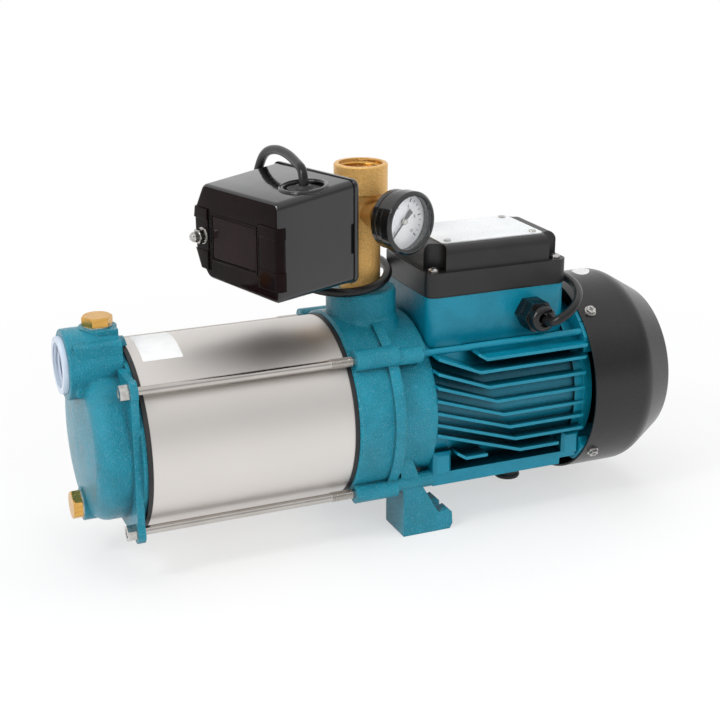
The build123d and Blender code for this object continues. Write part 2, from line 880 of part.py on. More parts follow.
def make_discharge_bracket():
    """Cast bracket: shell register, discharge tower, bearing hub, flange and two feet."""
    ring = turned([
        (bracket_front, 0), (bracket_front, bracket_ring_radius - 1.5),
        (bracket_front + 1.5, bracket_ring_radius), (bracket_ring_end, bracket_ring_radius),
        (bracket_ring_end + 2, bracket_flange_radius), (bracket_flange_end, bracket_flange_radius),
        (bracket_flange_end, 0)])
    rib = x_rod(rib_radius, rib_start, rib_start + rib_width)
    bracket = ring + rib + x_rod(spigot_radius, stage_rear, bracket_front)
    for y, z in corners(rod_y, rod_z):
        bracket += x_rod(rod_boss_radius, rod_boss_front, rib_start + rib_width, y, z)
    for y, z in corners(bolt_y, bolt_z):
        boss_end = bolt_boss_end if z > 0 else bracket_flange_end
        bracket += x_rod(boss_radius, rib_start, boss_end, y, z)
    for side in (-1, 1):
        bracket += make_leg(side)
    tower = turned_up([
        (0, 0), (tower_radius, 0), (tower_radius, tower_top - tower_edge),
        (tower_radius - tower_edge * 0.3, tower_top - tower_edge * 0.3),
        (tower_radius - tower_edge, tower_top), (0, tower_top)])
    foot = turned_up([
        (0, tower_foot_bottom), (tower_foot_radius, tower_foot_bottom),
        (tower_radius + 2, (tower_foot_bottom + tower_foot_top) / 2 + 2),
        (tower_radius, tower_foot_top), (0, tower_foot_top)])
    tower = (tower + foot) - x_rod(bracket_hollow_radius, bracket_front - tower_radius, bracket_flange_end)
    bracket += tower
    chamber = x_rod(
        spigot_radius - bracket_chamber_wall, stage_rear, bracket_wall_front)
    wall_rear = bracket_wall_front + bracket_wall_thickness
    hollow = x_rod(bracket_hollow_radius, wall_rear, bracket_flange_end)
    hollow -= x_rod(bracket_hub_radius, wall_rear, bracket_flange_end)
    seat_end = bracket_wall_front + seal_seat_width
    bore_bottom = tower_top - tower_bore_depth
    bracket -= chamber
    bracket -= hollow
    bracket -= x_rod(seal_seat_radius + fit_clearance, bracket_wall_front, seat_end)
    bracket -= x_rod(motor_shaft_radius + 1, seat_end, front_bearing_x)
    bracket -= x_rod(front_bearing_radius + bearing_clearance, front_bearing_x, bracket_flange_end)
    bracket -= z_rod(pipe_thread_radius, bore_bottom, tower_top)
    bracket -= block(
        (-pipe_thread_radius + 3, bracket_wall_front),
        (-outlet_slot_width / 2, outlet_slot_width / 2),
        (spigot_radius - 2 * bracket_chamber_wall, bore_bottom + 4))
    for y, z in corners(rod_y, rod_z):
        bracket -= x_rod(rod_radius + fit_clearance, rod_boss_front, rod_boss_front + rod_grip + 1, y, z)
    for y, z in corners(bolt_y, bolt_z):
        bracket -= x_rod(
            bolt_radius + fit_clearance, bolt_boss_end - bolt_grip, bracket_flange_end, y, z)
    return bracket


# Motor

def fin_trace(number):
    """Centre line of one fin: a drop from the bracket to a knee, then level."""
    knee_x = housing_front + fin_knee_reach + fin_knee_step * number - fin_knee_change * number ** 2
    knee_z = fin_top_z - fin_pitch * number + fin_pitch_change * number ** 2
    start_z = knee_z + fin_start_rise + fin_start_step * number
    end_x = housing_rear - (low_fin_cut if number == fin_count - 1 else 0)
    return (housing_front, start_z), (knee_x, knee_z), (end_x, knee_z)


def short_fin_trace(start_x, end_x, level):
    """Centre line of a short fin that starts away from the bracket."""
    start = (start_x, level + short_fin_rise)
    return start, (start_x + short_fin_run, level), (end_x, level)


def make_fin(trace_points):
    """One cooling fin on each side of the housing."""
    start, knee, end = trace_points
    half = fin_thickness / 2
    outline = make_face(Polyline(
        (start[0], 0, start[1] + half), (knee[0], 0, knee[1] + half), (end[0], 0, end[1] + half),
        (end[0], 0, end[1] - half), (knee[0], 0, knee[1] - half), (start[0], 0, start[1] - half),
        close=True))
    reach = fin_reach - fin_root_y
    return [Pos(0, side * fin_root_y, 0) * extrude(outline, reach, dir=(0, side, 0)) for side in (-1, 1)]


def make_box_base():
    """Lower half of the terminal box, cast on the housing."""
    centre = box_start + box_length / 2
    base = rounded_block(box_length, 2 * box_half_width, box_bottom - 4, box_top, box_corner, centre)
    room = rounded_block(
        box_length - 2 * box_wall, 2 * (box_half_width - box_wall), box_bottom, box_top,
        box_corner - box_wall, centre)
    base -= room
    for x, y in lid_screw_places():
        base += z_rod(lid_post_radius, box_bottom, box_top, x, y)
    return base


def lid_screw_places():
    """Centres of the four lid screws."""
    inset = lid_screw_inset
    return [(x, y) for x in (box_start + inset, box_end - inset)
            for y in (-box_half_width + inset, box_half_width - inset)]


def make_rail(side):
    """Rail along one side of the housing, with the lower through bolt inside it."""
    y_range = sorted((side * rail_inner_y, side * rail_outer_y))
    middle = (rail_bottom + rail_top) / 2
    rail = block((housing_front, housing_rear - rail_rear_cut), y_range, (rail_bottom, middle))
    return rail + block((housing_front, housing_rear - rail_step_cut), y_range, (middle, rail_top))


def make_lug(side, start):
    """Lug on top of one rail, bevelled outside."""
    lug = block(
        (start, start + lug_length), sorted((side * lug_inner_y, side * lug_outer_y)),
        (rail_top - lug_bevel, lug_top_z))
    outside = lug.faces().sort_by(Axis.Y)[0 if side < 0 else -1]
    return chamfer(outside.edges(), lug_bevel)


def make_support_foot():
    """Rubber foot on the stub under the housing."""
    half = support_length / 2
    foot = block(
        (support_x - half, support_x + half), (-support_half_width, support_half_width),
        (support_bottom, -housing_bore))
    foot = fillet(foot.edges().filter_by(Axis.Z), support_edge)
    foot -= x_rod(housing_radius + fit_clearance, support_x - half, support_x + half)
    return foot - z_rod(support_stub_radius + fit_clearance, support_stub_bottom, -housing_bore, support_x)


def make_motor_housing():
    """Finned aluminium housing with the terminal box base, rails and corner lugs."""
    body = x_rod(housing_radius, housing_front, housing_rear)
    traces = [fin_trace(number) for number in range(fin_count)]
    traces.append(short_fin_trace(housing_front + top_fin_start, housing_rear, top_fin_z))
    stub_start = housing_front + stub_fin_start
    traces.append(short_fin_trace(stub_start, stub_start + stub_fin_length, stub_fin_z))
    for points in traces:
        for fin in make_fin(points):
            body += fin
    body += x_rod(housing_radius + end_collar_proud, housing_rear - end_collar_length, housing_rear)
    for side in (-1, 1):
        body += make_rail(side)
        for start in (housing_front, housing_rear - lug_length):
            body += make_lug(side, start)
    body += make_box_base()
    body += z_rod(support_stub_radius, support_stub_bottom, -housing_bore, support_x)
    bore = x_rod(housing_bore, housing_front, housing_rear)
    body -= bore
    body -= z_rod(box_wire_hole, housing_bore - 4, box_top, wire_hole_x)
    for y, z in corners(bolt_y, bolt_z):
        body -= x_rod(bolt_radius + fit_clearance, housing_front, housing_rear, y, z)
    gland_hole = Pos(gland_x, -box_half_width + box_wall / 2, gland_z) * Rot(90, 0, 0)
    body -= gland_hole * Cylinder(gland_thread_radius + fit_clearance, 2 * box_wall)
    for x, y in lid_screw_places():
        body -= z_rod(lid_screw_radius + fit_clearance, box_top - 12, box_top, x, y)
    return body


def make_stator_core():
    """Laminated stator ring pressed into the housing."""
    core = x_rod(housing_bore - fit_clearance, stator_front, stator_rear)
    return core - x_rod(rotor_radius + air_gap, stator_front, stator_rear)


def make_stator_windings():
    """Winding heads at both ends of the stator."""
    head = turned([
        (0, winding_bore), (0, winding_radius), (winding_length - 4, winding_radius),
        (winding_length, winding_radius - 4), (winding_length, winding_bore + 3),
        (winding_length - 3, winding_bore)])
    return [Pos(stator_rear, 0, 0) * head, Pos(stator_front, 0, 0) * Rot(0, 180, 0) * head]


def make_rotor_core():
    """Squirrel-cage rotor on the shaft."""
    core = x_rod(rotor_radius, stator_front, stator_rear)
    rings = x_rod(rotor_radius - 4, stator_front - 6, stator_rear + 6)
    return core + rings - x_rod(motor_shaft_radius + fit_clearance / 2, stator_front - 6, stator_rear + 6)


def make_outer_race(radius, start, width):
    """Outer ring of a bearing with its two dust shields."""
    shield = 1.2
    inner = motor_shaft_radius + bearing_race + running_clearance
    race = turned([
        (start, inner), (start, radius), (start + width, radius), (start + width, inner),
        (start + width - shield, inner), (start + width - shield, radius - bearing_race),
        (start + shield, radius - bearing_race), (start + shield, inner)])
    return race


def make_inner_race(start, width):
    """Inner ring of a bearing."""
    ring = x_rod(motor_shaft_radius + bearing_race, start, start + width)
    return ring - x_rod(motor_shaft_radius + fit_clearance / 4, start, start + width)


def make_rear_end_shield():
    """Rear cover of the motor with the bearing hub and the fan-cover tabs."""
    plate = turned([
        (housing_rear - shield_spigot, shield_hub_radius + 12),
        (housing_rear - shield_spigot, housing_bore - fit_clearance),
        (housing_rear, housing_bore - fit_clearance), (housing_rear, housing_radius + 3),
        (shield_rear, housing_radius + 3), (shield_rear, shield_hub_radius + 12)])
    web = x_rod(housing_radius, housing_rear, shield_rear)
    hub = x_rod(shield_hub_radius, rear_bearing_x, shield_hub_end + shield_plate / 2)
    tab_radius = cover_radius - cover_wall - fit_clearance
    shield = plate + web + hub
    for y, z in corners(bolt_y, bolt_z):
        lug = block(
            (housing_rear, shield_rear),
            sorted((y * 0.7, y + (boss_radius if y > 0 else -boss_radius))),
            sorted((z * 0.7, z + (boss_radius if z > 0 else -boss_radius))))
        shield += lug & x_rod(tab_radius, housing_rear, shield_rear)
    tab_end = cover_tab_x + cover_tab_width / 2
    half = cover_tab_width / 2
    tab = block((housing_rear, tab_end), (-half, half), (cover_tab_root, cover_radius))
    for turn in cover_screw_turns():
        shield += (Rot(turn, 0, 0) * tab) & x_rod(tab_radius, housing_rear, tab_end)
    shield -= x_rod(rear_bearing_radius + bearing_clearance, rear_bearing_x, shield_hub_end)
    shield -= x_rod(motor_shaft_radius + 1, shield_hub_end, shield_hub_end + shield_plate)
    shield -= x_rod(rear_bearing_radius - 2, housing_rear - shield_spigot, rear_bearing_x)
    for y, z in corners(bolt_y, bolt_z):
        shield -= x_rod(bolt_radius + fit_clearance, housing_rear, shield_rear, y, z)
    for place in cover_screw_places():
        shield -= place * z_rod(cover_screw_radius + fit_clearance, -9, 0)
    return shield


def make_motor_through_bolts():
    """Four studs from the bracket to the rear end shield."""
    start = bolt_boss_end - bolt_grip
    return [x_rod(bolt_radius, start, shield_rear, y, z) for y, z in corners(bolt_y, bolt_z)]


def cover_screw_turns():
    """Angles of the four fan-cover screws, from the top towards the gland side."""
    return [cover_screw_turn + 90 * number for number in range(4)]


def cover_screw_places():
    """Seats of the four radial screws of the fan cover, z pointing outwards."""
    return [Rot(turn, 0, 0) * Pos(cover_tab_x, 0, cover_radius) for turn in cover_screw_turns()]


def make_cover_body(offset):
    """Solid body of the fan cover, set in by an offset, with its crease and end rounded."""
    body = turned([
        (cover_rim_x, 0), (cover_rim_x, cover_radius - offset),
        (cover_crease_x, cover_radius - offset),
        (cover_end_x - offset, cover_end_radius - offset), (cover_end_x - offset, 0)])
    body = fillet(rims(body, cover_radius - offset)[-1], cover_crease_edge - offset)
    return fillet(rims(body, cover_end_radius - offset)[-1], cover_end_edge - offset)


def make_fan_cover():
    """Sheet-metal fan cover with an air grille in its end."""
    cover = make_cover_body(0.0) - make_cover_body(cover_wall)
    spokes = Pos(cover_end_x, 0, 0) * Box(4 * cover_wall, grille_spoke, 2 * cover_radius)
    spokes += Pos(cover_end_x, 0, 0) * Box(4 * cover_wall, 2 * cover_radius, grille_spoke)
    for number in range(grille_ring_count):
        radius = grille_first_radius + grille_pitch * number
        slot = x_rod(radius + grille_slot, cover_end_x - 2 * cover_wall, cover_end_x)
        slot -= x_rod(radius, cover_end_x - 2 * cover_wall, cover_end_x)
        cover -= slot - spokes
    for place in cover_screw_places():
        cover -= place * z_rod(cover_screw_radius + fit_clearance, -2 * cover_wall, cover_wall)
    return cover


def make_fan_cover_screws():
    """Hexagon washer-head screws of the fan cover, with a cross recess."""
    screw = z_rod(cover_screw_radius, -cover_screw_length, 0)
    screw += z_rod(cover_screw_head, 0, cover_screw_washer)
    screw += hexagon(cover_screw_across, cover_screw_height)
    screw -= cross_recess(cover_screw_height)
    return [place * screw for place in cover_screw_places()]


def make_cooling_fan():
    """Radial fan on the rear end of the shaft."""
    end = fan_x + fan_hub_length
    fan = x_rod(fan_hub_radius, fan_x, end) + x_rod(fan_radius, fan_x, fan_x + fan_plate)
    reach = fan_radius - fan_hub_radius + 2
    blade = Pos(fan_x + fan_blade_width / 2, 0, fan_hub_radius - 2 + reach / 2)
    blade = blade * Box(fan_blade_width, fan_blade, reach)
    for number in range(fan_blade_count):
        fan += Rot(360 * number / fan_blade_count, 0, 0) * blade
    return fan - x_rod(fan_shaft_radius + fit_clearance / 2, fan_x, end)


# Terminal box

def make_lid_gasket():
    """Flat gasket between the box and its lid."""
    centre = box_start + box_length / 2
    ring = rounded_block(box_length, 2 * box_half_width, box_top, lid_base, box_corner, centre)
    ring -= rounded_block(
        box_length - 2 * box_wall, 2 * (box_half_width - box_wall), box_top, lid_base,
        box_corner - box_wall, centre)
    return ring


def make_terminal_box_lid():
    """Moulded lid: a skirt, and a raised top notched at the four screws."""
    centre = box_start + box_length / 2
    skirt = rounded_block(
        box_length + 2 * lid_overhang, 2 * (box_half_width + lid_overhang), lid_base, lid_ledge,
        box_corner, centre)
    raised = rounded_block(
        box_length - lid_step, 2 * box_half_width - lid_step, lid_ledge - lid_wall / 2, lid_top,
        lid_corner, centre)
    raised = fillet(raised.faces().sort_by(Axis.Z)[-1].edges(), lid_edge)
    room = rounded_block(
        box_length - 2 * lid_wall, 2 * (box_half_width - lid_wall), lid_base,
        lid_ledge - lid_wall, box_corner - lid_wall, centre)
    upper = rounded_block(
        box_length - lid_step - 2 * lid_wall, 2 * (box_half_width - lid_wall) - lid_step,
        lid_ledge - lid_wall, lid_top - lid_wall, lid_corner - lid_wall, centre)
    upper = fillet(upper.faces().sort_by(Axis.Z)[-1].edges(), lid_edge - lid_wall)
    for x, y in lid_screw_places():
        raised -= z_rod(lid_notch_radius, lid_ledge, lid_top, x, y)
        upper -= z_rod(lid_notch_radius + lid_wall, lid_ledge - lid_wall, lid_top, x, y)
    lid = skirt + raised - room - upper
    for x, y in lid_screw_places():
        lid += z_rod(lid_post_radius, lid_base, lid_ledge, x, y)
        lid -= z_rod(lid_screw_radius + fit_clearance, lid_base, lid_ledge, x, y)
    for x, y in plate_screw_places():
        lid -= z_rod(plate_screw_radius + fit_clearance, lid_top - lid_wall, lid_top, x, y)
    return lid


def make_lid_screws():
    """Pan-head screws at the corners of the lid."""
    head = turned_up([
        (0, 0), (lid_screw_head, 0), (lid_screw_head, lid_screw_head_height * 0.6),
        (lid_screw_head * 0.7, lid_screw_head_height), (0, lid_screw_head_height)])
    screw = head + z_rod(lid_screw_radius, box_top - 10 - lid_ledge, 0) - cross_recess(lid_screw_head_height)
    return [Pos(x, y, lid_ledge) * screw for x, y in lid_screw_places()]


def plate_screw_places():
    """Centres of the four screws of the plate on the lid."""
    centre = box_start + box_length / 2
    return [(centre + side_x * plate_screw_x / 2, side_y * plate_screw_y / 2)
            for side_x in (-1, 1) for side_y in (-1, 1)]


def make_lid_plate():
    """Bare plate on the top of the lid."""
    centre = box_start + box_length / 2
    plate = rounded_block(plate_length, plate_width, lid_top, lid_top + plate_thickness, 3, centre)
    for x, y in plate_screw_places():
        plate -= z_rod(plate_screw_radius + fit_clearance, lid_top, lid_top + plate_thickness, x, y)
    return plate


def make_lid_plate_screws():
    """Small screws of the plate."""
    screw = z_rod(plate_screw_radius, -3, 0) + z_rod(plate_screw_head, 0, 1)
    return [Pos(x, y, lid_top + plate_thickness) * screw for x, y in plate_screw_places()]


def make_run_capacitor():
    """Run capacitor lying in the terminal box."""
    start = terminal_block_front() + terminal_block_length + capacitor_gap
    can = x_rod(capacitor_radius, start, box_end - box_wall - capacitor_gap / 2, z=0)
    can = fillet(can.edges(), 1.5)
    floor = housing_radius + running_clearance
    return Pos(0, 0, floor + capacitor_radius) * can


def terminal_block_front():
    """Front plane of the terminal block, behind the hole for the wires."""
    return wire_hole_x + box_wire_hole + terminal_block_gap


def make_terminal_block():
    """Terminal block on the housing, with a row of clamp wells."""
    start = terminal_block_front()
    floor = housing_radius - 0.5
    wells = 4
    body = block(
        (start, start + terminal_block_length),
        (-terminal_block_width / 2, terminal_block_width / 2),
        (floor, floor + terminal_block_height))
    body -= x_rod(housing_radius + fit_clearance, start, start + terminal_block_length)
    for number in range(wells):
        y = terminal_block_width * ((number + 0.5) / wells - 0.5)
        for x in (start + 6, start + terminal_block_length - 6):
            body -= z_rod(3, floor + terminal_block_height / 2, floor + terminal_block_height, x, y)
    return body


# Cable gland and lead

gland_place = Pos(gland_x, -box_half_width, gland_z) * Rot(90, 0, 0)


def make_cable_gland_body():
    """Threaded gland body with its hexagon against the box."""
    body = hexagon(gland_across, gland_hex_length)
    body += z_rod(gland_thread_radius, -2 * box_wall, gland_hex_length)
    body += z_rod(gland_thread_radius, gland_hex_length, gland_hex_length + gland_nut_length / 2)
    bore = lead_radius + running_clearance
    body -= z_rod(bore, -2 * box_wall, gland_hex_length + gland_nut_length)
    return gland_place * body


def make_cable_gland_nut():
    """Domed clamping nut of the gland."""
    start = gland_hex_length + 0.5
    end = gland_hex_length + gland_nut_length
    grip_length = gland_nut_length * gland_grip_share
    grip = Pos(0, 0, start) * hexagon(gland_across, grip_length)
    groove = Pos(gland_across / 2, 0, start + grip_length / 2) * Box(
        2 * gland_groove_depth, gland_groove_width, grip_length - 2)
    for side in range(6):
        for number in range(gland_groove_count):
            y = gland_groove_pitch * (number - (gland_groove_count - 1) / 2)
            grip -= Rot(0, 0, 60 * side + 30) * Pos(0, y, 0) * groove
    dome = z_rod(gland_dome_radius, start, end)
    dome = fillet(dome.edges().sort_by(Axis.Z)[-1], gland_dome_edge)
    nut = grip + dome
    nut -= z_rod(gland_thread_radius + fit_clearance, start, gland_hex_length + gland_nut_length / 2 + 1)
    nut -= z_rod(lead_radius + fit_clearance, start, end)
    nut -= z_rod(gland_mouth_radius, end - gland_mouth_depth, end)
    return gland_place * nut


def make_lead():
    """Round lead with a tangent arc at each corner of its route."""
    start = gland_place.position + Vector(0, -gland_hex_length - gland_nut_length, 0)
    entry = lead_entry()
    leaving = start + Vector(0, -lead_exit_run, 0)
    arriving = entry + Vector(0, 0, lead_entry_run)
    points = [start, leaving] + [Vector(*point) for point in lead_points] + [arriving, entry]
    radii = []
    for before, here, after in zip(points, points[1:], points[2:]):
        turn = radians((here - before).get_angle(after - here))
        run = min((here - before).length, (after - here).length)
        radii.append(0.45 * run / tan(turn / 2))
    path = FilletPolyline(*points, radius=radii)
    section = Plane(origin=path @ 0, z_dir=path % 0) * Circle(lead_radius)
    lead = sweep(section, path=path)
    area = pi * lead_radius ** 2
    print("lead radii", [round(radius, 1) for radius in radii])
    print("lead length", round(path.length, 1), "volume ratio", round(lead.volume / area / path.length, 4))
    return lead


def lead_entry():
    """Point where the lead meets the grommet on top of the switch."""
    place = switch_frame * Pos(entry_b, entry_top() - switch_z, entry_a)
    return place.position - Vector(0, 0, grommet_sink)


def entry_top():
    """Height of the top of the entry ring."""
    share = (entry_a - tray_front) / (cap_front - tray_front)
    return cap_top + (cap_front_top - cap_top) * share + entry_height


# Brass five-way fitting

def make_five_way_fitting():
    """Cast brass fitting: male foot, two pipe ports and two small ports."""
    foot_bottom = tower_top - fitting_thread_length
    foot_top = tower_top + fitting_foot_height
    body = turned_up([
        (0, foot_bottom), (pipe_thread_radius - fit_clearance, foot_bottom),
        (pipe_thread_radius - fit_clearance, tower_top), (fitting_foot_radius, foot_top - 1),
        (fitting_body_radius, foot_top), (fitting_body_radius, port_neck_z - port_flare),
        (fitting_body_radius + port_flare * 0.2, port_neck_z),
        (port_radius - port_flare * 0.9, port_neck_z + port_flare * 0.9),
        (port_radius - 2, port_neck_z + port_flare * 1.6), (port_radius - 2, port_bottom - 1),
        (port_radius, port_bottom + 1), (port_radius, port_top - 0.8),
        (port_radius - 0.8, port_top), (0, port_top)])
    branch = turned_up([
        (0, 0), (fitting_body_radius - 1, 0), (fitting_body_radius - 1, branch_start - 3),
        (port_radius - 0.6, branch_start + 1), (port_radius - 0.6, branch_end - 0.8),
        (port_radius - 1.4, branch_end), (0, branch_end)])
    body += branch_frame * branch
    body += gauge_frame * z_rod(small_boss_radius, 0, gauge_boss_end)
    body += switch_frame * z_rod(small_boss_radius, 0, switch_boss_end)
    body -= z_rod(fitting_bore, foot_bottom, port_top)
    body -= z_rod(pipe_thread_radius, port_top - port_thread_depth, port_top)
    body -= branch_frame * z_rod(fitting_bore, 0, branch_end)
    body -= branch_frame * z_rod(pipe_thread_radius, branch_end - port_thread_depth, branch_end)
    hole = gauge_stem_radius + fit_clearance
    body -= gauge_frame * z_rod(hole, fitting_body_radius - 4, gauge_boss_end)
    body -= switch_frame * z_rod(hole, fitting_body_radius - 4, switch_boss_end)
    return body


# Pressure gauge

def make_gauge_stem():
    """Threaded stem with a square, ending in the case."""
    inner = 3.0
    stem = z_rod(gauge_stem_radius, fitting_body_radius - 1, gauge_boss_end)
    stem += Pos(0, 0, gauge_boss_end) * extrude(
        Rectangle(gauge_stem_square, gauge_stem_square), gauge_case_back - gauge_boss_end)
    stem += z_rod(inner, gauge_case_back, gauge_case_back + 9)
    stem -= z_rod(inner / 2, fitting_body_radius - 1, gauge_case_back)
    return gauge_frame * stem


def make_gauge_case():
    """Cup-shaped case of the gauge."""
    front = gauge_case_back + gauge_case_depth
    inner = gauge_case_radius - gauge_case_wall
    floor = gauge_case_back + gauge_case_wall
    ledge = dial_back() - fit_clearance
    groove = gauge_case_back + gauge_groove_place
    cup = turned_up([
        (3.2, gauge_case_back), (gauge_case_radius - 3, gauge_case_back),
        (gauge_case_radius, gauge_case_back + 3), (gauge_case_radius, groove),
        (gauge_case_radius - gauge_groove_depth, groove),
        (gauge_case_radius - gauge_groove_depth, groove + gauge_groove_width),
        (gauge_case_radius, groove + gauge_groove_width), (gauge_case_radius, front), (inner, front),
        (inner, ledge), (inner - 1.5, ledge), (inner - 1.5, gauge_case_back + 4),
        (inner - 4, floor), (3.2, floor)])
    return gauge_frame * cup


def dial_back():
    """Plane of the back of the dial, along the gauge axis."""
    return gauge_case_back + gauge_case_depth - dial_depth


def make_gauge_bezel():
    """Ring that holds the lens on the case."""
    lens_back = bezel_front - 1 - lens_thickness
    bezel = turned_up([
        (gauge_case_radius + fit_clearance, bezel_back), (bezel_radius, bezel_back),
        (bezel_radius, bezel_front - 1.5), (bezel_radius - 1.5, bezel_front),
        (bezel_opening + 0.6, bezel_front), (bezel_opening, bezel_front - 0.9),
        (gauge_case_radius - 0.6, bezel_front - 0.9), (gauge_case_radius - 0.6, lens_back - 0.1),
        (gauge_case_radius + fit_clearance, lens_back - 0.1)])
    return gauge_frame * bezel


def make_gauge_lens():
    """Flat clear lens behind the bezel."""
    back = bezel_front - 1 - lens_thickness
    return gauge_frame * z_rod(gauge_case_radius - 0.7, back, back + lens_thickness)


def make_gauge_dial():
    """Flat dial on the ledge of the case."""
    radius = gauge_case_radius - gauge_case_wall - fit_clearance
    dial = z_rod(radius, dial_back(), dial_back() + dial_thickness)
    return gauge_frame * (dial - z_rod(1.6, dial_back(), dial_back() + dial_thickness))


def make_gauge_needle():
    """Pointer with a counterweight, on its arbor."""
    back = dial_back() + dial_thickness + 1.2
    pointer = make_face(Polyline(
        (needle_length, 0.25), (0, needle_width / 2), (-needle_tail, needle_tail_width),
        (-needle_tail, -needle_tail_width), (0, -needle_width / 2), (needle_length, -0.25), close=True))
    needle = Pos(0, 0, back) * Rot(0, 0, needle_angle) * extrude(pointer, needle_thickness)
    needle += z_rod(2.0, back, back + needle_thickness * 2)
    needle += z_rod(1.0, dial_back() - 1.5, back)
    return gauge_frame * needle


def make_gauge_bourdon_tube():
    """Curved pressure tube behind the dial, on its socket."""
    height = gauge_case_back + 6
    section = Pos(bourdon_radius, 0, height) * Rot(90, 0, 0) * Circle(bourdon_tube_radius)
    tube = Rot(0, 0, -90) * revolve(section, Axis.Z, bourdon_sweep)
    socket = block(
        (-bourdon_tube_radius, bourdon_tube_radius), (-bourdon_radius, 2.0),
        (height - bourdon_tube_radius, height + bourdon_tube_radius))
    return gauge_frame * (tube + socket - z_rod(3.1, gauge_case_back, gauge_case_back + 12))


# Pressure switch

def make_switch_connector():
    """Nipple between the fitting and the diaphragm housing."""
    back = switch_boss_end
    nipple = Pos(0, 0, back) * hexagon(connector_across, connector_hex_length)
    nipple += z_rod(gauge_stem_radius, back - connector_thread_length, back)
    nipple -= z_rod(2.5, back - connector_thread_length, back + connector_hex_length)
    return switch_frame * nipple


def make_switch_diaphragm_housing():
    """Round pressed housing of the diaphragm."""
    back = switch_boss_end + connector_hex_length
    front = tray_back
    housing = turned_up([
        (0, back), (10, back), (diaphragm_radius - 4, front - 4), (diaphragm_radius, front - 3),
        (diaphragm_radius, front), (0, front)])
    housing -= z_rod(plunger_radius + running_clearance, front - 4, front)
    return switch_frame * housing


def make_switch_base():
    """Moulded tray that carries the switch works."""
    outline = cap_section(tray_back, 0, cap_bottom, cap_top, -tray_lip)
    tray = extrude(outline, seam_depth, dir=(0, 0, 1))
    tray = fillet(tray.faces().sort_by(Axis.Z)[0].edges(), tray_edge)
    rim = cap_section(seam_a - fit_clearance, 0, cap_bottom, cap_top, cap_wall + seam_clearance)
    tray += extrude(rim, tray_front - seam_a + fit_clearance, dir=(0, 0, 1))
    floor = tray_back + tray_wall
    room = cap_section(floor, 0, cap_bottom, cap_top, 2 * tray_wall)
    tray = tray - extrude(room, tray_front - tray_back, dir=(0, 0, 1))
    cover_boss = z_rod(2 * stud_radius, tray_back + tray_edge, tray_front - fit_clearance)
    tray += Pos(acorn_b, acorn_z - switch_z, 0) * cover_boss
    tray += Pos(lever_pivot_b, 0, 0) * z_rod(4, floor, lever_back() - running_clearance)
    tray -= z_rod(plunger_radius + bearing_clearance, tray_back, floor)
    tray -= Pos(acorn_b, acorn_z - switch_z, 0) * z_rod(stud_radius + fit_clearance, tray_back, tray_front)
    tray -= Pos(spring_b, 0, 0) * z_rod(stud_radius + fit_clearance, tray_back, floor)
    return switch_frame * tray


def lever_back():
    """Plane of the rear face of the lever, along the switch axis."""
    return tray_front + 1.0


def cap_section(depth, side_inset, bottom, top, inset):
    """Outline of the switch cover at one depth, with its wider cheek on the far side."""
    right = cap_right - side_inset - inset
    left = cap_left + side_inset + inset
    cheek = cap_cheek + inset
    low = bottom - switch_z + inset
    high = top - switch_z - inset
    outline = make_face(Polyline(
        (right, low), (right, high), (left, high), (cheek, cap_cheek_top - switch_z),
        (cheek, cap_cheek_bottom - switch_z), (left + 4, low), close=True))
    return Pos(0, 0, depth) * fillet(outline.vertices(), cap_corner - inset / 2)


def cap_inset_at(depth):
    """Side inset of the tapered cover at one depth."""
    return cap_front_inset * (depth - seam_a) / (cap_front - seam_a)


def make_cover_bands():
    """Raised bands at the two front corners of the switch cover, stepped in the middle."""
    back = cap_front - band_depth
    bands = loft([
        cap_section(back, cap_inset_at(back), cap_bottom, cap_top, -band_proud),
        cap_section(
            cap_front + band_proud, cap_front_inset, cap_front_bottom, cap_front_top, -band_proud)])
    across = (2 * cap_cheek, 2 * cap_right)
    bands &= block(across, (band_bottom - switch_z, band_top - switch_z), (0, 2 * cap_front))
    inner = loft([
        cap_section(back, cap_inset_at(back), cap_bottom, cap_top, band_middle_drop - band_proud),
        cap_section(
            cap_front + band_proud - band_middle_drop, cap_front_inset, cap_front_bottom,
            cap_front_top, band_middle_drop - band_proud)])
    zone = block(across, (band_middle_bottom - switch_z, band_middle_top - switch_z), (0, 2 * cap_front))
    bands = (bands - zone) + (inner & zone)
    middle = block(
        (groove_left, groove_right), (band_bottom - switch_z - 1, band_top - switch_z + 1),
        (back - band_depth, cap_front + 2 * band_proud))
    return bands - middle


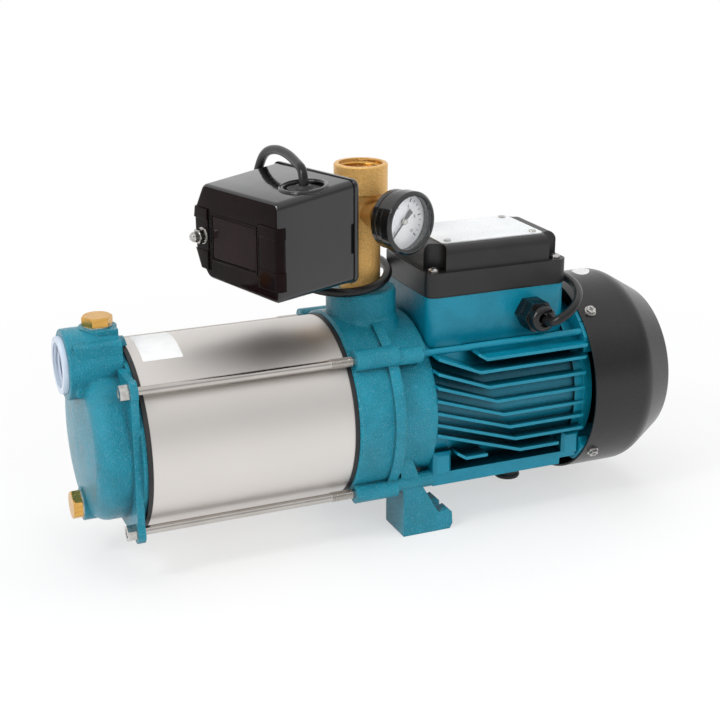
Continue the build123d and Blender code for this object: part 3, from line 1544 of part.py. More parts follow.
def make_switch_cover():
    """Tapered moulded cover with a window, corner bands and the lead entry."""
    back = seam_a + fit_clearance
    outer = loft([
        cap_section(back, 0, cap_bottom, cap_top, 0),
        cap_section(cap_front, cap_front_inset, cap_front_bottom, cap_front_top, 0)])
    outer = fillet(outer.faces().sort_by(Axis.Z)[-1].edges(), cap_front_edge)
    inner = loft([
        cap_section(back, 0, cap_bottom, cap_top, cap_wall),
        cap_section(cap_front - cap_wall, cap_front_inset, cap_front_bottom, cap_front_top, cap_wall)])
    ring_low = cap_front_top - switch_z - 2
    ring_top = entry_top() - switch_z
    ring_place = Pos(entry_b, 0, entry_a) * Rot(-90, 0, 0)
    ring = ring_place * z_rod(entry_radius, ring_low, ring_top)
    well_bottom = ring_top - entry_well_depth
    cup = ring_place * z_rod(entry_well_radius + cap_wall / 2, well_bottom - cap_wall, ring_top)
    cover = outer - inner
    cover = cover + make_cover_bands() + ring + cup
    cover -= ring_place * z_rod(entry_well_radius, well_bottom, ring_top)
    cover -= ring_place * z_rod(entry_hole, ring_low - 2 * entry_well_depth, ring_top)
    cover -= block(
        (window_left, window_right), (window_bottom - switch_z, window_top - switch_z),
        (cap_front - window_depth, cap_front + band_proud))
    for place in (groove_left, groove_right):
        cover -= block(
            (place - groove_width / 2, place + groove_width / 2),
            (band_bottom - switch_z, band_top - switch_z),
            (cap_front - groove_depth, cap_front + 2 * band_proud))
    cover -= block(
        (cap_right - seam_notch_depth, 2 * cap_right),
        (seam_notch_bottom - switch_z, seam_notch_top - switch_z),
        (seam_a, seam_a + seam_notch_length))
    nut_place = Pos(acorn_b, acorn_z - switch_z, 0)
    cover -= nut_place * z_rod(acorn_radius + 1, cap_front, cap_front + 2 * band_proud)
    cover -= nut_place * z_rod(stud_radius + running_clearance, cap_front - 2 * cap_wall, cap_front)
    return switch_frame * cover


def make_lead_grommet():
    """Rubber grommet round the lead in the entry ring."""
    seat = entry_top() - switch_z - entry_well_depth
    top = entry_top() - switch_z - grommet_sink
    place = switch_frame * Pos(entry_b, 0, entry_a) * Rot(-90, 0, 0)
    grommet = turned_up([
        (0, seat - grommet_neck), (entry_hole - fit_clearance, seat - grommet_neck),
        (entry_hole - fit_clearance, seat), (grommet_flange, seat),
        (grommet_flange, seat + grommet_flange_height), (2 * lead_radius, seat + grommet_flange_height),
        (lead_radius * 1.6, top), (0, top)])
    return place * grommet


def make_cover_acorn_nut():
    """Domed nut that holds the switch cover."""
    across = 2 * acorn_radius - 1
    flange = z_rod(acorn_radius + 0.6, 0, 1.2)
    body = Pos(0, 0, 1.2) * hexagon(across, acorn_length / 2 - 1.2)
    dome = turned_up([
        (0, acorn_length / 2), (acorn_radius - 1.2, acorn_length / 2),
        (acorn_radius - 1.6, acorn_length * 0.78), (acorn_radius - 2.8, acorn_length * 0.93),
        (0, acorn_length)])
    nut = flange + body + dome - z_rod(stud_radius + fit_clearance / 2, 0, acorn_length / 2)
    return switch_frame * Pos(acorn_b, acorn_z - switch_z, cap_front) * nut


def make_switch_spring_stud():
    """Cover stud and spring stud fixed in the base."""
    cover_stud = Pos(acorn_b, acorn_z - switch_z, 0) * z_rod(
        stud_radius, tray_back, cap_front + acorn_length / 2 - 0.5)
    spring_end = lever_back() + lever_thickness + spring_length + 8
    spring_stud = Pos(spring_b, 0, 0) * z_rod(stud_radius, tray_back, spring_end)
    spring_nut = Pos(spring_b, 0, spring_end - 7) * hexagon(2 * spring_radius, 5)
    return [switch_frame * cover_stud, switch_frame * (spring_stud + spring_nut)]


def make_switch_range_spring():
    """Coil spring that holds the lever down."""
    start = lever_back() + lever_thickness
    coil = Helix(spring_length / spring_turns, spring_length - 2 * spring_wire, spring_radius)
    section = Plane(origin=coil @ 0, z_dir=coil % 0) * Circle(spring_wire)
    spring = sweep(section, path=coil, is_frenet=True)
    return switch_frame * Pos(spring_b, 0, start + spring_wire) * spring


def make_switch_lever():
    """Lever plate over the plunger, turned at its pivot."""
    plate = block(
        (lever_end_b, lever_pivot_b + 3), (-lever_width / 2, lever_width / 2),
        (lever_back(), lever_back() + lever_thickness))
    plate -= Pos(spring_b, 0, 0) * z_rod(stud_radius + 1.2, lever_back(), lever_back() + lever_thickness)
    return switch_frame * plate


def make_switch_plunger():
    """Plunger with a pointed tip that carries the diaphragm's push to the lever."""
    end = lever_back() - bearing_clearance
    return switch_frame * turned_up([
        (0, tray_back - 3), (plunger_radius, tray_back - 3), (plunger_radius, end - 2),
        (plunger_tip_radius, end), (0, end)])


def make_switch_terminal_block():
    """Contact block below the lever."""
    floor = tray_back + tray_wall
    low = cap_bottom + 8 - switch_z
    body = block(
        (-block_half_width, block_half_width), (low, low + block_height),
        (floor, floor + block_depth))
    for number in range(4):
        x = block_half_width * (number - 1.5) / 2
        body -= Pos(x, low + block_height / 2, 0) * z_rod(2.5, floor + block_depth - 6, floor + block_depth)
    return switch_frame * body


def build_all():
    """Every sub-part by name, about the shaft."""
    return {
        "suction_cover": make_suction_cover(),
        "suction_port_insert": make_suction_port_insert(),
        "priming_plug": priming_place * make_plug(),
        "drain_plug": drain_place * make_plug(),
        "plug_washers": [priming_place * make_washer(), drain_place * make_washer()],
        "pump_shell": make_pump_shell(),
        "shell_seals": make_shell_seals(),
        "tie_rods": make_tie_rods(),
        "tie_rod_nuts": make_tie_rod_nuts(),
        "stage_diffusers": [make_stage(start) for start in stage_starts()],
        "impellers": [make_impeller(start) for start in stage_starts()],
        "impeller_nut": make_impeller_nut(),
        "impeller_spacer": make_first_spacer(),
        "drive_shaft": make_drive_shaft(),
        "seal_seat": make_seal_seat(),
        "seal_ring": make_seal_ring(),
        "discharge_bracket": make_discharge_bracket(),
        "motor_housing": make_motor_housing(),
        "support_foot": make_support_foot(),
        "stator_core": make_stator_core(),
        "stator_windings": make_stator_windings(),
        "rotor_core": make_rotor_core(),
        "front_bearing_outer": make_outer_race(front_bearing_radius, front_bearing_x, front_bearing_width),
        "front_bearing_inner": make_inner_race(front_bearing_x, front_bearing_width),
        "rear_bearing_outer": make_outer_race(rear_bearing_radius, rear_bearing_x, rear_bearing_width),
        "rear_bearing_inner": make_inner_race(rear_bearing_x, rear_bearing_width),
        "rear_end_shield": make_rear_end_shield(),
        "motor_through_bolts": make_motor_through_bolts(),
        "cooling_fan": make_cooling_fan(),
        "fan_cover": make_fan_cover(),
        "fan_cover_screws": make_fan_cover_screws(),
        "terminal_box_lid": make_terminal_box_lid(),
        "lid_gasket": make_lid_gasket(),
        "lid_screws": make_lid_screws(),
        "lid_plate": make_lid_plate(),
        "lid_plate_screws": make_lid_plate_screws(),
        "run_capacitor": make_run_capacitor(),
        "terminal_block": make_terminal_block(),
        "cable_gland_body": make_cable_gland_body(),
        "cable_gland_nut": make_cable_gland_nut(),
        "switch_lead": make_lead(),
        "five_way_fitting": make_five_way_fitting(),
        "gauge_stem": make_gauge_stem(),
        "gauge_case": make_gauge_case(),
        "gauge_bezel": make_gauge_bezel(),
        "gauge_lens": make_gauge_lens(),
        "gauge_dial": make_gauge_dial(),
        "gauge_needle": make_gauge_needle(),
        "gauge_bourdon_tube": make_gauge_bourdon_tube(),
        "switch_connector": make_switch_connector(),
        "switch_diaphragm_housing": make_switch_diaphragm_housing(),
        "switch_base": make_switch_base(),
        "switch_cover": make_switch_cover(),
        "lead_grommet": make_lead_grommet(),
        "cover_acorn_nut": make_cover_acorn_nut(),
        "switch_studs": make_switch_spring_stud(),
        "switch_range_spring": make_switch_range_spring(),
        "switch_lever": make_switch_lever(),
        "switch_plunger": make_switch_plunger(),
        "switch_terminal_block": make_switch_terminal_block(),
    }


place = Pos(-foot_slot_x, 0, shaft_height)
for name, shape in build_all().items():
    solids = shape if isinstance(shape, list) else [shape]
    placed = [place * solid for solid in solids]
    export_step(Compound(children=placed) if len(placed) > 1 else placed[0], f"parts/{name}.step")
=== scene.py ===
from math import atan2, cos, pi, radians, sin, sqrt, tan

import bmesh
import bpy
from mathutils import Matrix, Vector


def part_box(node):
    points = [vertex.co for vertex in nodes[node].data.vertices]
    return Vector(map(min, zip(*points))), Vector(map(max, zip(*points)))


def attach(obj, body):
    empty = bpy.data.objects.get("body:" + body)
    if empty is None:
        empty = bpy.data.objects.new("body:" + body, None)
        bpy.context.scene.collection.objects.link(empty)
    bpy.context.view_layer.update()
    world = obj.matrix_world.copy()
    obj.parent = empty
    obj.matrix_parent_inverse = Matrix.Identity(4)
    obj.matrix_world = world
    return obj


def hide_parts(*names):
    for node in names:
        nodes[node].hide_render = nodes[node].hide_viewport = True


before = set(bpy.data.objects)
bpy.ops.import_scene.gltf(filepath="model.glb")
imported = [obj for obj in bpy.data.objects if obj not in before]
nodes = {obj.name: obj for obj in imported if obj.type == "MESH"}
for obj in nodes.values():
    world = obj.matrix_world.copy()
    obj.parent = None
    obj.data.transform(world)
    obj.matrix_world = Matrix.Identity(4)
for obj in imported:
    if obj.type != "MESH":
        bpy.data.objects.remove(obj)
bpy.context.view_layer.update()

# Places in the row frame, in metres
MM = 0.001
SHAFT_Z = 0.088
TOWER_X = -0.040
TURN = radians(18.6)
SWITCH_OUT = Vector((-cos(TURN), -sin(TURN), 0))
GAUGE_OUT = Vector((sin(TURN), -cos(TURN), 0))


def row(x, y, z):
    """Point in metres from shaft-frame millimetres."""
    return Vector(((x - 40) * MM, y * MM, (z + 88) * MM))


def port_matrix(out, height):
    """Frame at the fitting's axis: x level, y up, z out of the port."""
    level = Vector((-out.y, out.x, 0))
    place = Matrix((level, Vector((0, 0, 1)), out)).transposed().to_4x4()
    place.translation = Vector((TOWER_X, 0, height * MM + SHAFT_Z))
    return place


SWITCH = port_matrix(SWITCH_OUT, 135.0)
GAUGE = port_matrix(GAUGE_OUT, 139.0)
BRANCH = port_matrix(-GAUGE_OUT, 138.0)


def new_object(name, data):
    """Object linked to the scene."""
    item = bpy.data.objects.new(name, data)
    bpy.context.scene.collection.objects.link(item)
    return item


# Materials

def new_material(name):
    mat = bpy.data.materials.new(name)
    mat.use_nodes = True
    tree = mat.node_tree
    return mat, tree, tree.nodes["Principled BSDF"]


def add(tree, kind, **inputs):
    node = tree.nodes.new(kind)
    for key, value in inputs.items():
        node.inputs[key.replace("_", " ")].default_value = value
    return node


def mapped(tree, stretch=(1, 1, 1)):
    """Object coordinates, stretched."""
    coord = tree.nodes.new("ShaderNodeTexCoord")
    place = tree.nodes.new("ShaderNodeMapping")
    place.inputs["Scale"].default_value = stretch
    tree.links.new(coord.outputs["Object"], place.inputs["Vector"])
    return place.outputs["Vector"]


def noise_out(tree, vector, scale, detail=2.0, rough=0.5):
    node = add(tree, "ShaderNodeTexNoise", Scale=scale, Detail=detail, Roughness=rough)
    tree.links.new(vector, node.inputs["Vector"])
    return node.outputs["Fac"]


def ramp(tree, source, low, high, start=0.0, end=1.0):
    """Source mapped from low..high to start..end."""
    node = tree.nodes.new("ShaderNodeMapRange")
    node.inputs["From Min"].default_value = low
    node.inputs["From Max"].default_value = high
    node.inputs["To Min"].default_value = start
    node.inputs["To Max"].default_value = end
    tree.links.new(source, node.inputs["Value"])
    return node.outputs["Result"]


def mix_colour(tree, factor, first, second):
    node = tree.nodes.new("ShaderNodeMix")
    node.data_type = "RGBA"
    tree.links.new(factor, node.inputs["Factor"])
    for socket, value in ((node.inputs[6], first), (node.inputs[7], second)):
        if isinstance(value, tuple):
            socket.default_value = (*value, 1)
        else:
            tree.links.new(value, socket)
    return node.outputs[2]


def math_out(tree, operation, first, second, clamp=False):
    node = tree.nodes.new("ShaderNodeMath")
    node.operation = operation
    node.use_clamp = clamp
    tree.links.new(first, node.inputs[0])
    tree.links.new(second, node.inputs[1])
    return node.outputs[0]


def bump(tree, height, strength, distance, normal=None):
    node = add(tree, "ShaderNodeBump", Strength=strength, Distance=distance)
    tree.links.new(height, node.inputs["Height"])
    if normal is not None:
        tree.links.new(normal, node.inputs["Normal"])
    return node.outputs["Normal"]


def rounded_normal(tree, radius):
    """Normal that softens the edges by a radius."""
    node = tree.nodes.new("ShaderNodeBevel")
    node.samples = 4
    node.inputs["Radius"].default_value = radius
    return node.outputs["Normal"]


def finish_material(
    name, colour, other, metal=0.0, rough=(0.35, 0.45), patch=40.0, grain=900.0,
    grain_depth=0.0, grain_strength=0.4, wave=0.0, edge=0.0, coat=0.0, stretch=(1, 1, 1),
    specular=0.5,
):
    """Surface with patchy colour and roughness, a fine grain, a slow wave and soft edges."""
    mat, tree, bsdf = new_material(name)
    vector = mapped(tree, stretch)
    slow = noise_out(tree, vector, patch, 3.0)
    fine = noise_out(tree, vector, grain, 2.0, 0.6)
    blotch = ramp(tree, slow, 0.35, 0.65)
    tree.links.new(mix_colour(tree, blotch, colour, other), bsdf.inputs["Base Color"])
    bsdf.inputs["Metallic"].default_value = metal
    bsdf.inputs["Specular IOR Level"].default_value = specular
    bsdf.inputs["Coat Weight"].default_value = coat
    bsdf.inputs["Coat Roughness"].default_value = 0.06
    tree.links.new(ramp(tree, fine, 0.3, 0.7, *rough), bsdf.inputs["Roughness"])
    normal = rounded_normal(tree, edge) if edge else None
    if wave:
        normal = bump(tree, slow, 1.0, wave, normal)
    if grain_depth:
        normal = bump(tree, fine, grain_strength, grain_depth, normal)
    if normal is not None:
        tree.links.new(normal, bsdf.inputs["Normal"])
    return mat


def base_colour(mat):
    """Node tree of a material, its base colour input and what feeds it now."""
    tree = mat.node_tree
    socket = tree.nodes["Principled BSDF"].inputs["Base Color"]
    return tree, socket, socket.links[0].from_socket


def paint_glints(mat, scale, colour, amount):
    """Painted glints: tiny light specks in the base colour of a casting, standing in for light sparkling
    on its grain.
    """
    tree, socket, base = base_colour(mat)
    fine = noise_out(tree, mapped(tree), scale, 2.0, 0.7)
    glints = ramp(tree, fine, 0.60, 0.72, 0.0, amount)
    tree.links.new(mix_colour(tree, glints, base, colour), socket)


def paint_gap_shade(mat, reach, shade_colour):
    """Painted shade: base colour darkened in narrow gaps and corners, where shade falls."""
    tree, socket, base = base_colour(mat)
    gaps = tree.nodes.new("ShaderNodeAmbientOcclusion")
    gaps.samples = 8
    gaps.only_local = True
    gaps.inputs["Distance"].default_value = reach
    shade = ramp(tree, gaps.outputs["AO"], 0.25, 0.70)
    tree.links.new(mix_colour(tree, shade, shade_colour, base), socket)


def paint_edge_highlights(mat, width, colour, amount):
    """Painted highlight: paler base colour along the edges, standing in for light caught on their
    rounding.
    """
    tree, socket, base = base_colour(mat)
    flat = tree.nodes.new("ShaderNodeNewGeometry")
    likeness = tree.nodes.new("ShaderNodeVectorMath")
    likeness.operation = "DOT_PRODUCT"
    tree.links.new(rounded_normal(tree, width), likeness.inputs[0])
    tree.links.new(flat.outputs["Normal"], likeness.inputs[1])
    share = ramp(tree, likeness.outputs["Value"], 0.98, 0.86, 0.0, amount)
    tree.links.new(mix_colour(tree, share, base, colour), socket)


cast_teal = finish_material(
    "cast_teal_paint", (0.001, 0.205, 0.290), (0.003, 0.250, 0.355), rough=(0.14, 0.28), patch=60,
    grain=800, grain_depth=0.0012, grain_strength=1.0, wave=0.0010, edge=0.0014, specular=0.42)
# Painted glints: light specks in the teal stand in for sparkle of light on the grainy paint.
paint_glints(cast_teal, 1300.0, (0.26, 0.58, 0.66), 0.55)
# Painted highlight: paler teal along the edges stands in for light caught on their rounding.
paint_edge_highlights(cast_teal, 0.0012, (0.03, 0.36, 0.46), 0.6)
# Painted shade: teal darkened in gaps and corners, where shade falls.
paint_gap_shade(cast_teal, 0.012, (0.0005, 0.055, 0.085))
motor_teal = finish_material(
    "motor_teal_paint", (0.001, 0.205, 0.305), (0.003, 0.235, 0.345), rough=(0.26, 0.38), patch=70,
    grain=520, grain_depth=0.0003, grain_strength=0.45, wave=0.0005, edge=0.0009, specular=0.38)
# Painted highlight: paler teal along the edges of the fins and bosses.
paint_edge_highlights(motor_teal, 0.0010, (0.02, 0.36, 0.48), 0.7)
# Painted shade: teal darkened between the fins and in corners, where shade falls.
paint_gap_shade(motor_teal, 0.020, (0.0003, 0.022, 0.036))
stainless = finish_material(
    "satin_stainless", (0.740, 0.706, 0.676), (0.762, 0.728, 0.698), metal=1.0, rough=(0.46, 0.50),
    patch=10, grain=1400, grain_depth=0.00002, grain_strength=0.2)
bright_steel = finish_material(
    "bright_plated_steel", (0.44, 0.43, 0.41), (0.60, 0.585, 0.56), metal=1.0, rough=(0.14, 0.30),
    patch=300, grain=1600, grain_depth=0.00006, edge=0.0003)
rod_steel = finish_material(
    "tie_rod_steel", (0.50, 0.470, 0.440), (0.55, 0.520, 0.490), metal=1.0, rough=(0.18, 0.24),
    patch=60, grain=1500, grain_depth=0.00003, edge=0.0003)
ground_steel = finish_material(
    "ground_steel", (0.50, 0.50, 0.51), (0.58, 0.58, 0.59), metal=1.0, rough=(0.18, 0.30),
    patch=120, grain=900, grain_depth=0.00002, stretch=(8, 1, 1))
cast_brass = finish_material(
    "sand_cast_brass", (0.73, 0.415, 0.120), (0.86, 0.52, 0.175), metal=0.72, rough=(0.24, 0.38),
    patch=900, grain=1900, grain_depth=0.0006, grain_strength=0.8, edge=0.0008)
# Painted glints: light specks in the brass stand in for sparkle of light on its grain.
paint_glints(cast_brass, 1500.0, (1.0, 0.80, 0.44), 0.45)
# Painted shade: brass darkened in gaps and corners, where shade falls.
paint_gap_shade(cast_brass, 0.008, (0.42, 0.19, 0.04))
turned_brass = finish_material(
    "machined_brass", (0.64, 0.35, 0.085), (0.76, 0.44, 0.125), metal=1.0, rough=(0.20, 0.32),
    patch=90, grain=700, grain_depth=0.00005, stretch=(1, 1, 6), edge=0.0005)
rubber = finish_material(
    "black_rubber", (0.010, 0.010, 0.011), (0.016, 0.016, 0.017), rough=(0.46, 0.62), patch=80,
    grain=1400, grain_depth=0.00006, edge=0.0004)
lead_sheath = finish_material(
    "lead_sheath", (0.007, 0.007, 0.0076), (0.010, 0.010, 0.0108), rough=(0.24, 0.32), patch=60,
    grain=1500, grain_depth=0.00004, specular=0.35)
lid_plastic = finish_material(
    "grained_black_plastic", (0.009, 0.0085, 0.0085), (0.012, 0.0115, 0.0115), rough=(0.34, 0.46),
    patch=60, grain=2300, grain_depth=0.00014, grain_strength=0.5, edge=0.0008)
gland_plastic = finish_material(
    "gland_plastic", (0.004, 0.004, 0.0045), (0.006, 0.006, 0.0065), rough=(0.12, 0.24), patch=90,
    grain=1200, grain_depth=0.00006, edge=0.0005)
gloss_black = finish_material(
    "gloss_black_plastic", (0.006, 0.006, 0.0068), (0.008, 0.0078, 0.0085), rough=(0.07, 0.12),
    patch=30, grain=300, wave=0.0003, coat=0.35, edge=0.0012)
sheet_black = finish_material(
    "satin_black_enamel", (0.006, 0.0058, 0.006), (0.008, 0.0078, 0.008), rough=(0.22, 0.28),
    patch=25, grain=900, grain_depth=0.00004, wave=0.0002, edge=0.0008)
# Painted shade: a reddish copy of the gloss black with little reflection, for the faces looking out of
# the front of the switch; its darkness stands in for the dark side of the room they face.
shaded_front_black = finish_material(
    "switch_front_shaded_black", (0.006, 0.0028, 0.0028), (0.010, 0.0034, 0.0034), rough=(0.07, 0.11),
    patch=30, grain=300, wave=0.0003, edge=0.0005, specular=0.07)
window_gloss = finish_material(
    "dark_window_plastic", (0.010, 0.0034, 0.0036), (0.015, 0.0046, 0.0050), rough=(0.12, 0.20),
    patch=60, grain=900, grain_depth=0.00003, specular=0.10)
stage_plastic = finish_material(
    "moulded_stage_plastic", (0.70, 0.69, 0.64), (0.76, 0.75, 0.71), rough=(0.35, 0.48), patch=60,
    grain=700, grain_depth=0.00005)
ceramic = finish_material(
    "lapped_ceramic", (0.80, 0.78, 0.72), (0.85, 0.83, 0.78), rough=(0.12, 0.18), patch=90, grain=900)
carbon = finish_material(
    "seal_carbon", (0.03, 0.03, 0.032), (0.05, 0.05, 0.052), rough=(0.25, 0.35), patch=90, grain=900)
lamination = finish_material(
    "stacked_lamination", (0.24, 0.24, 0.25), (0.40, 0.40, 0.42), metal=1.0, rough=(0.30, 0.45),
    patch=4, grain=600, grain_depth=0.00008, stretch=(300, 1, 1))
copper = finish_material(
    "varnished_copper", (0.40, 0.13, 0.04), (0.55, 0.22, 0.08), metal=0.6, rough=(0.22, 0.36),
    patch=260, grain=1100, grain_depth=0.0003, coat=0.4)
port_plastic = finish_material(
    "port_bush_plastic", (0.60, 0.68, 0.80), (0.68, 0.75, 0.86), rough=(0.28, 0.40), patch=60,
    grain=900, grain_depth=0.00005, edge=0.0004)
# Painted shade: the bush darkens to blue-grey inside its bore, where shade falls.
paint_gap_shade(port_plastic, 0.014, (0.13, 0.21, 0.33))
terminal_plastic = finish_material(
    "terminal_plastic", (0.64, 0.63, 0.58), (0.70, 0.69, 0.65), rough=(0.35, 0.48), patch=60,
    grain=900, grain_depth=0.00005)
white_paper = finish_material(
    "bare_label_paper", (0.84, 0.84, 0.84), (0.90, 0.90, 0.90), rough=(0.40, 0.52), patch=90,
    grain=1500, grain_depth=0.00002)
white_plate = finish_material(
    "bare_white_plate", (0.74, 0.76, 0.77), (0.80, 0.82, 0.83), rough=(0.26, 0.36), patch=40,
    grain=900, grain_depth=0.00002, edge=0.0003)
dial_white = finish_material(
    "dial_enamel", (0.93, 0.94, 0.97), (0.95, 0.96, 0.98), rough=(0.40, 0.48), patch=60, grain=900)
dial_black = finish_material(
    "dial_ink", (0.012, 0.012, 0.013), (0.020, 0.020, 0.021), rough=(0.40, 0.50), patch=60, grain=900)
pointer_grey = finish_material(
    "pointer_grey", (0.075, 0.080, 0.085), (0.100, 0.105, 0.112), rough=(0.36, 0.46), patch=60,
    grain=900)
zinc_plate = finish_material(
    "zinc_plate", (0.60, 0.59, 0.54), (0.70, 0.69, 0.64), metal=1.0, rough=(0.24, 0.36), patch=120,
    grain=900, grain_depth=0.00006, edge=0.0004)


def lens_material():
    """Clear lens: mostly see-through, with a sharp reflection."""
    mat, tree, bsdf = new_material("clear_gauge_lens")
    bsdf.inputs["Base Color"].default_value = (0.95, 0.97, 0.98, 1)
    smear = noise_out(tree, mapped(tree), 120.0, 2.0)
    tree.links.new(ramp(tree, smear, 0.3, 0.7, 0.02, 0.05), bsdf.inputs["Roughness"])
    bsdf.inputs["Alpha"].default_value = 0.05
    mat.surface_render_method = "BLENDED"
    return mat


clear_lens = lens_material()

finishes = {
    cast_teal: ["suction_cover", "discharge_bracket"],
    motor_teal: ["motor_housing", "motor_through_bolts", "rear_end_shield"],
    stainless: ["pump_shell"],
    rod_steel: ["tie_rods"],
    bright_steel: [
        "tie_rod_nuts", "fan_cover_screws", "lid_screws", "lid_plate_screws",
        "cover_acorn_nut", "switch_studs", "switch_range_spring", "switch_lever"],
    ground_steel: [
        "drive_shaft", "impeller_nut", "impeller_spacer", "front_bearing_outer",
        "front_bearing_inner", "rear_bearing_outer", "rear_bearing_inner"],
    turned_brass: ["priming_plug", "drain_plug", "gauge_stem", "switch_connector", "gauge_bourdon_tube"],
    cast_brass: ["five_way_fitting"],
    rubber: ["shell_seals", "support_foot", "lid_gasket", "lead_grommet"],
    zinc_plate: ["plug_washers", "switch_diaphragm_housing"],
    stage_plastic: ["stage_diffusers", "impellers"],
    ceramic: ["seal_seat"],
    carbon: ["seal_ring"],
    lamination: ["stator_core", "rotor_core"],
    copper: ["stator_windings"],
    sheet_black: ["fan_cover"],
    lid_plastic: ["terminal_box_lid", "cooling_fan"],
    gland_plastic: ["cable_gland_body", "cable_gland_nut"],
    gloss_black: ["switch_base", "gauge_case", "gauge_bezel"],
    shaded_front_black: ["switch_cover"],
    port_plastic: ["suction_port_insert"],
    terminal_plastic: ["terminal_block", "switch_terminal_block", "run_capacitor", "switch_plunger"],
    white_plate: ["lid_plate"],
    dial_white: ["gauge_dial"],
    pointer_grey: ["gauge_needle"],
    clear_lens: ["gauge_lens"],
    lead_sheath: ["switch_lead"],
}
for mat, names in finishes.items():
    for name in names:
        for place in nodes[name].material_slots:
            place.material = mat


# Mesh helpers

SHARP_ANGLE = radians(42)
BOX_FACES = [(0, 1, 3, 2), (4, 6, 7, 5), (0, 4, 5, 1), (2, 3, 7, 6), (0, 2, 6, 4), (1, 5, 7, 3)]


def outward_mesh(name, points, faces):
    """Mesh from points in the row frame, its normals facing out."""
    mesh = bpy.data.meshes.new(name)
    mesh.from_pydata([tuple(point) for point in points], [], faces)
    mesh.validate()
    work = bmesh.new()
    work.from_mesh(mesh)
    bmesh.ops.recalc_face_normals(work, faces=work.faces)
    work.to_mesh(mesh)
    work.free()
    return mesh


def evaluated_mesh(piece):
    """Mesh of an object as its modifiers or its text settings make it."""
    bpy.context.view_layer.update()
    graph = bpy.context.evaluated_depsgraph_get()
    return bpy.data.meshes.new_from_object(piece.evaluated_get(graph))


def add_mesh(name, points, faces, mat, body, slot, smooth=True):
    """New piece from points in the row frame."""
    mesh = outward_mesh(name, points, faces)
    for face in mesh.polygons:
        face.use_smooth = smooth
    if smooth:
        mesh.set_sharp_from_angle(angle=SHARP_ANGLE)
    mesh.materials.append(mat)
    piece = new_object(name, mesh)
    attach(piece, body)
    return piece


def grid_faces(rows, columns, closed_columns=False, start=0):
    """Quads between the points of a grid, counted row by row."""
    faces = []
    wrap = columns if closed_columns else columns - 1
    for i in range(rows - 1):
        for j in range(wrap):
            k = (j + 1) % columns
            faces.append((
                start + i * columns + j, start + i * columns + k,
                start + (i + 1) * columns + k, start + (i + 1) * columns + j))
    return faces


def end_caps(rows, columns):
    """Faces that close the first and the last row of a closed grid."""
    last = (rows - 1) * columns
    return [tuple(range(columns - 1, -1, -1)), tuple(range(last, last + columns))]


def lathe(place, outline, segments=48):
    """Points and faces turned about z of a frame, from (radius, height) pairs in mm."""
    points = []
    for radius, height in outline:
        for j in range(segments):
            turn = 2 * pi * j / segments
            spot = Vector((radius * MM * cos(turn), radius * MM * sin(turn), height * MM))
            points.append(place @ spot)
    return points, grid_faces(len(outline), segments, True)


def helix_thread(place, root, crest, pitch, length, segments=36):
    """Points and faces of a screw thread along z of a frame, from 0 to length, in mm."""
    points = []
    turns = length / pitch - 1
    steps = int(turns * segments)
    shape = ((-0.5, 0.0), (-0.12, 1.0), (0.12, 1.0), (0.5, 0.0))
    run_in = segments * 0.6
    for step in range(steps + 1):
        turn = 2 * pi * step / segments
        rise = pitch * step / segments + pitch / 2
        fade = min(1.0, step / run_in, (steps - step) / run_in)
        for along, share in shape:
            radius = (root + (crest - root) * share * fade) * MM
            points.append(place @ Vector((
                radius * cos(turn), radius * sin(turn), (rise + along * pitch) * MM)))
    return points, grid_faces(steps + 1, len(shape))


def joined(parts):
    """Several (points, faces) pairs as one."""
    points, faces = [], []
    for some, quads in parts:
        base = len(points)
        points += some
        faces += [tuple(base + i for i in face) for face in quads]
    return points, faces


def along_x(x, y=0.0, z=0.0):
    """Frame whose z axis runs along +X from a place in shaft-frame mm."""
    place = Matrix(((0, 0, 1), (0, 1, 0), (-1, 0, 0))).to_4x4()
    place.translation = row(x, y, z)
    return place


def shell_point(x, angle, radius):
    """Point over the shaft: angle in degrees from -Y towards +Z."""
    turn = radians(angle)
    return row(x, -radius * cos(turn), radius * sin(turn))


# Lead from the gland to the switch

LEAD_RADIUS = 3.15
lead_route = [
    (114.5, -62, 63), (114.5, -68.5, 63), (119, -73.5, 66.5), (130, -72.5, 72.5), (141.5, -61, 77),
    (149, -45, 80), (151.5, -27, 81), (151.5, -5, 80), (151.5, 18, 78), (147.5, 38, 76.5),
    (133, 50.5, 76), (106, 52, 76), (76, 51, 77), (50, 50, 80), (34, 43, 86), (25, 31, 93),
    (21, 17, 98), (20, 3, 98), (17.5, -9, 95.5), (10, -18, 92), (-1, -23.5, 89.8),
    (-15, -26.5, 88.8), (-29, -22.5, 88.8), (-42, -8, 90), (-53, 11, 94), (-59.2, 25.4, 97),
    (-62.6, 37.0, 108.5), (-63.4, 40.9, 127), (-63.2, 40.5, 150), (-61.6, 34.1, 169),
    (-60.6, 23.4, 180.5), (-58.2, 6.8, 185), (-56.7, -11.7, 184.5), (-57.3, -28.8, 182),
    (-58.22, -43.33, 179.99), (-58.22, -43.33, 170.49)]
curve = bpy.data.curves.new("lead_from_gland", "CURVE")
curve.dimensions = "3D"
curve.bevel_depth = LEAD_RADIUS * MM
curve.bevel_resolution = 6
curve.resolution_u = 8
curve.use_fill_caps = True
spline = curve.splines.new("NURBS")
spline.points.add(len(lead_route) - 1)
for point, place in zip(spline.points, lead_route):
    point.co = (*row(*place), 1)
spline.order_u = 3
spline.use_endpoint_u = True
curve.materials.append(lead_sheath)
lead = new_object("lead_from_gland", curve)
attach(lead, "pump_body")
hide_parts("switch_lead")


# Threads, each with its root radius, crest radius and pitch in mm

ROD_THREAD = (2.9, 3.55, 1.25)
PIPE_THREAD = (15.25, 14.3, 2.3)
ROD_Y = 51.5
ROD_Z = 48.8
OUTLET_THREAD_Z = 155.6
TANK_THREAD_OUT = 28.2
PORT_THREAD_LENGTH = 16.6
SUCTION_Z = 55

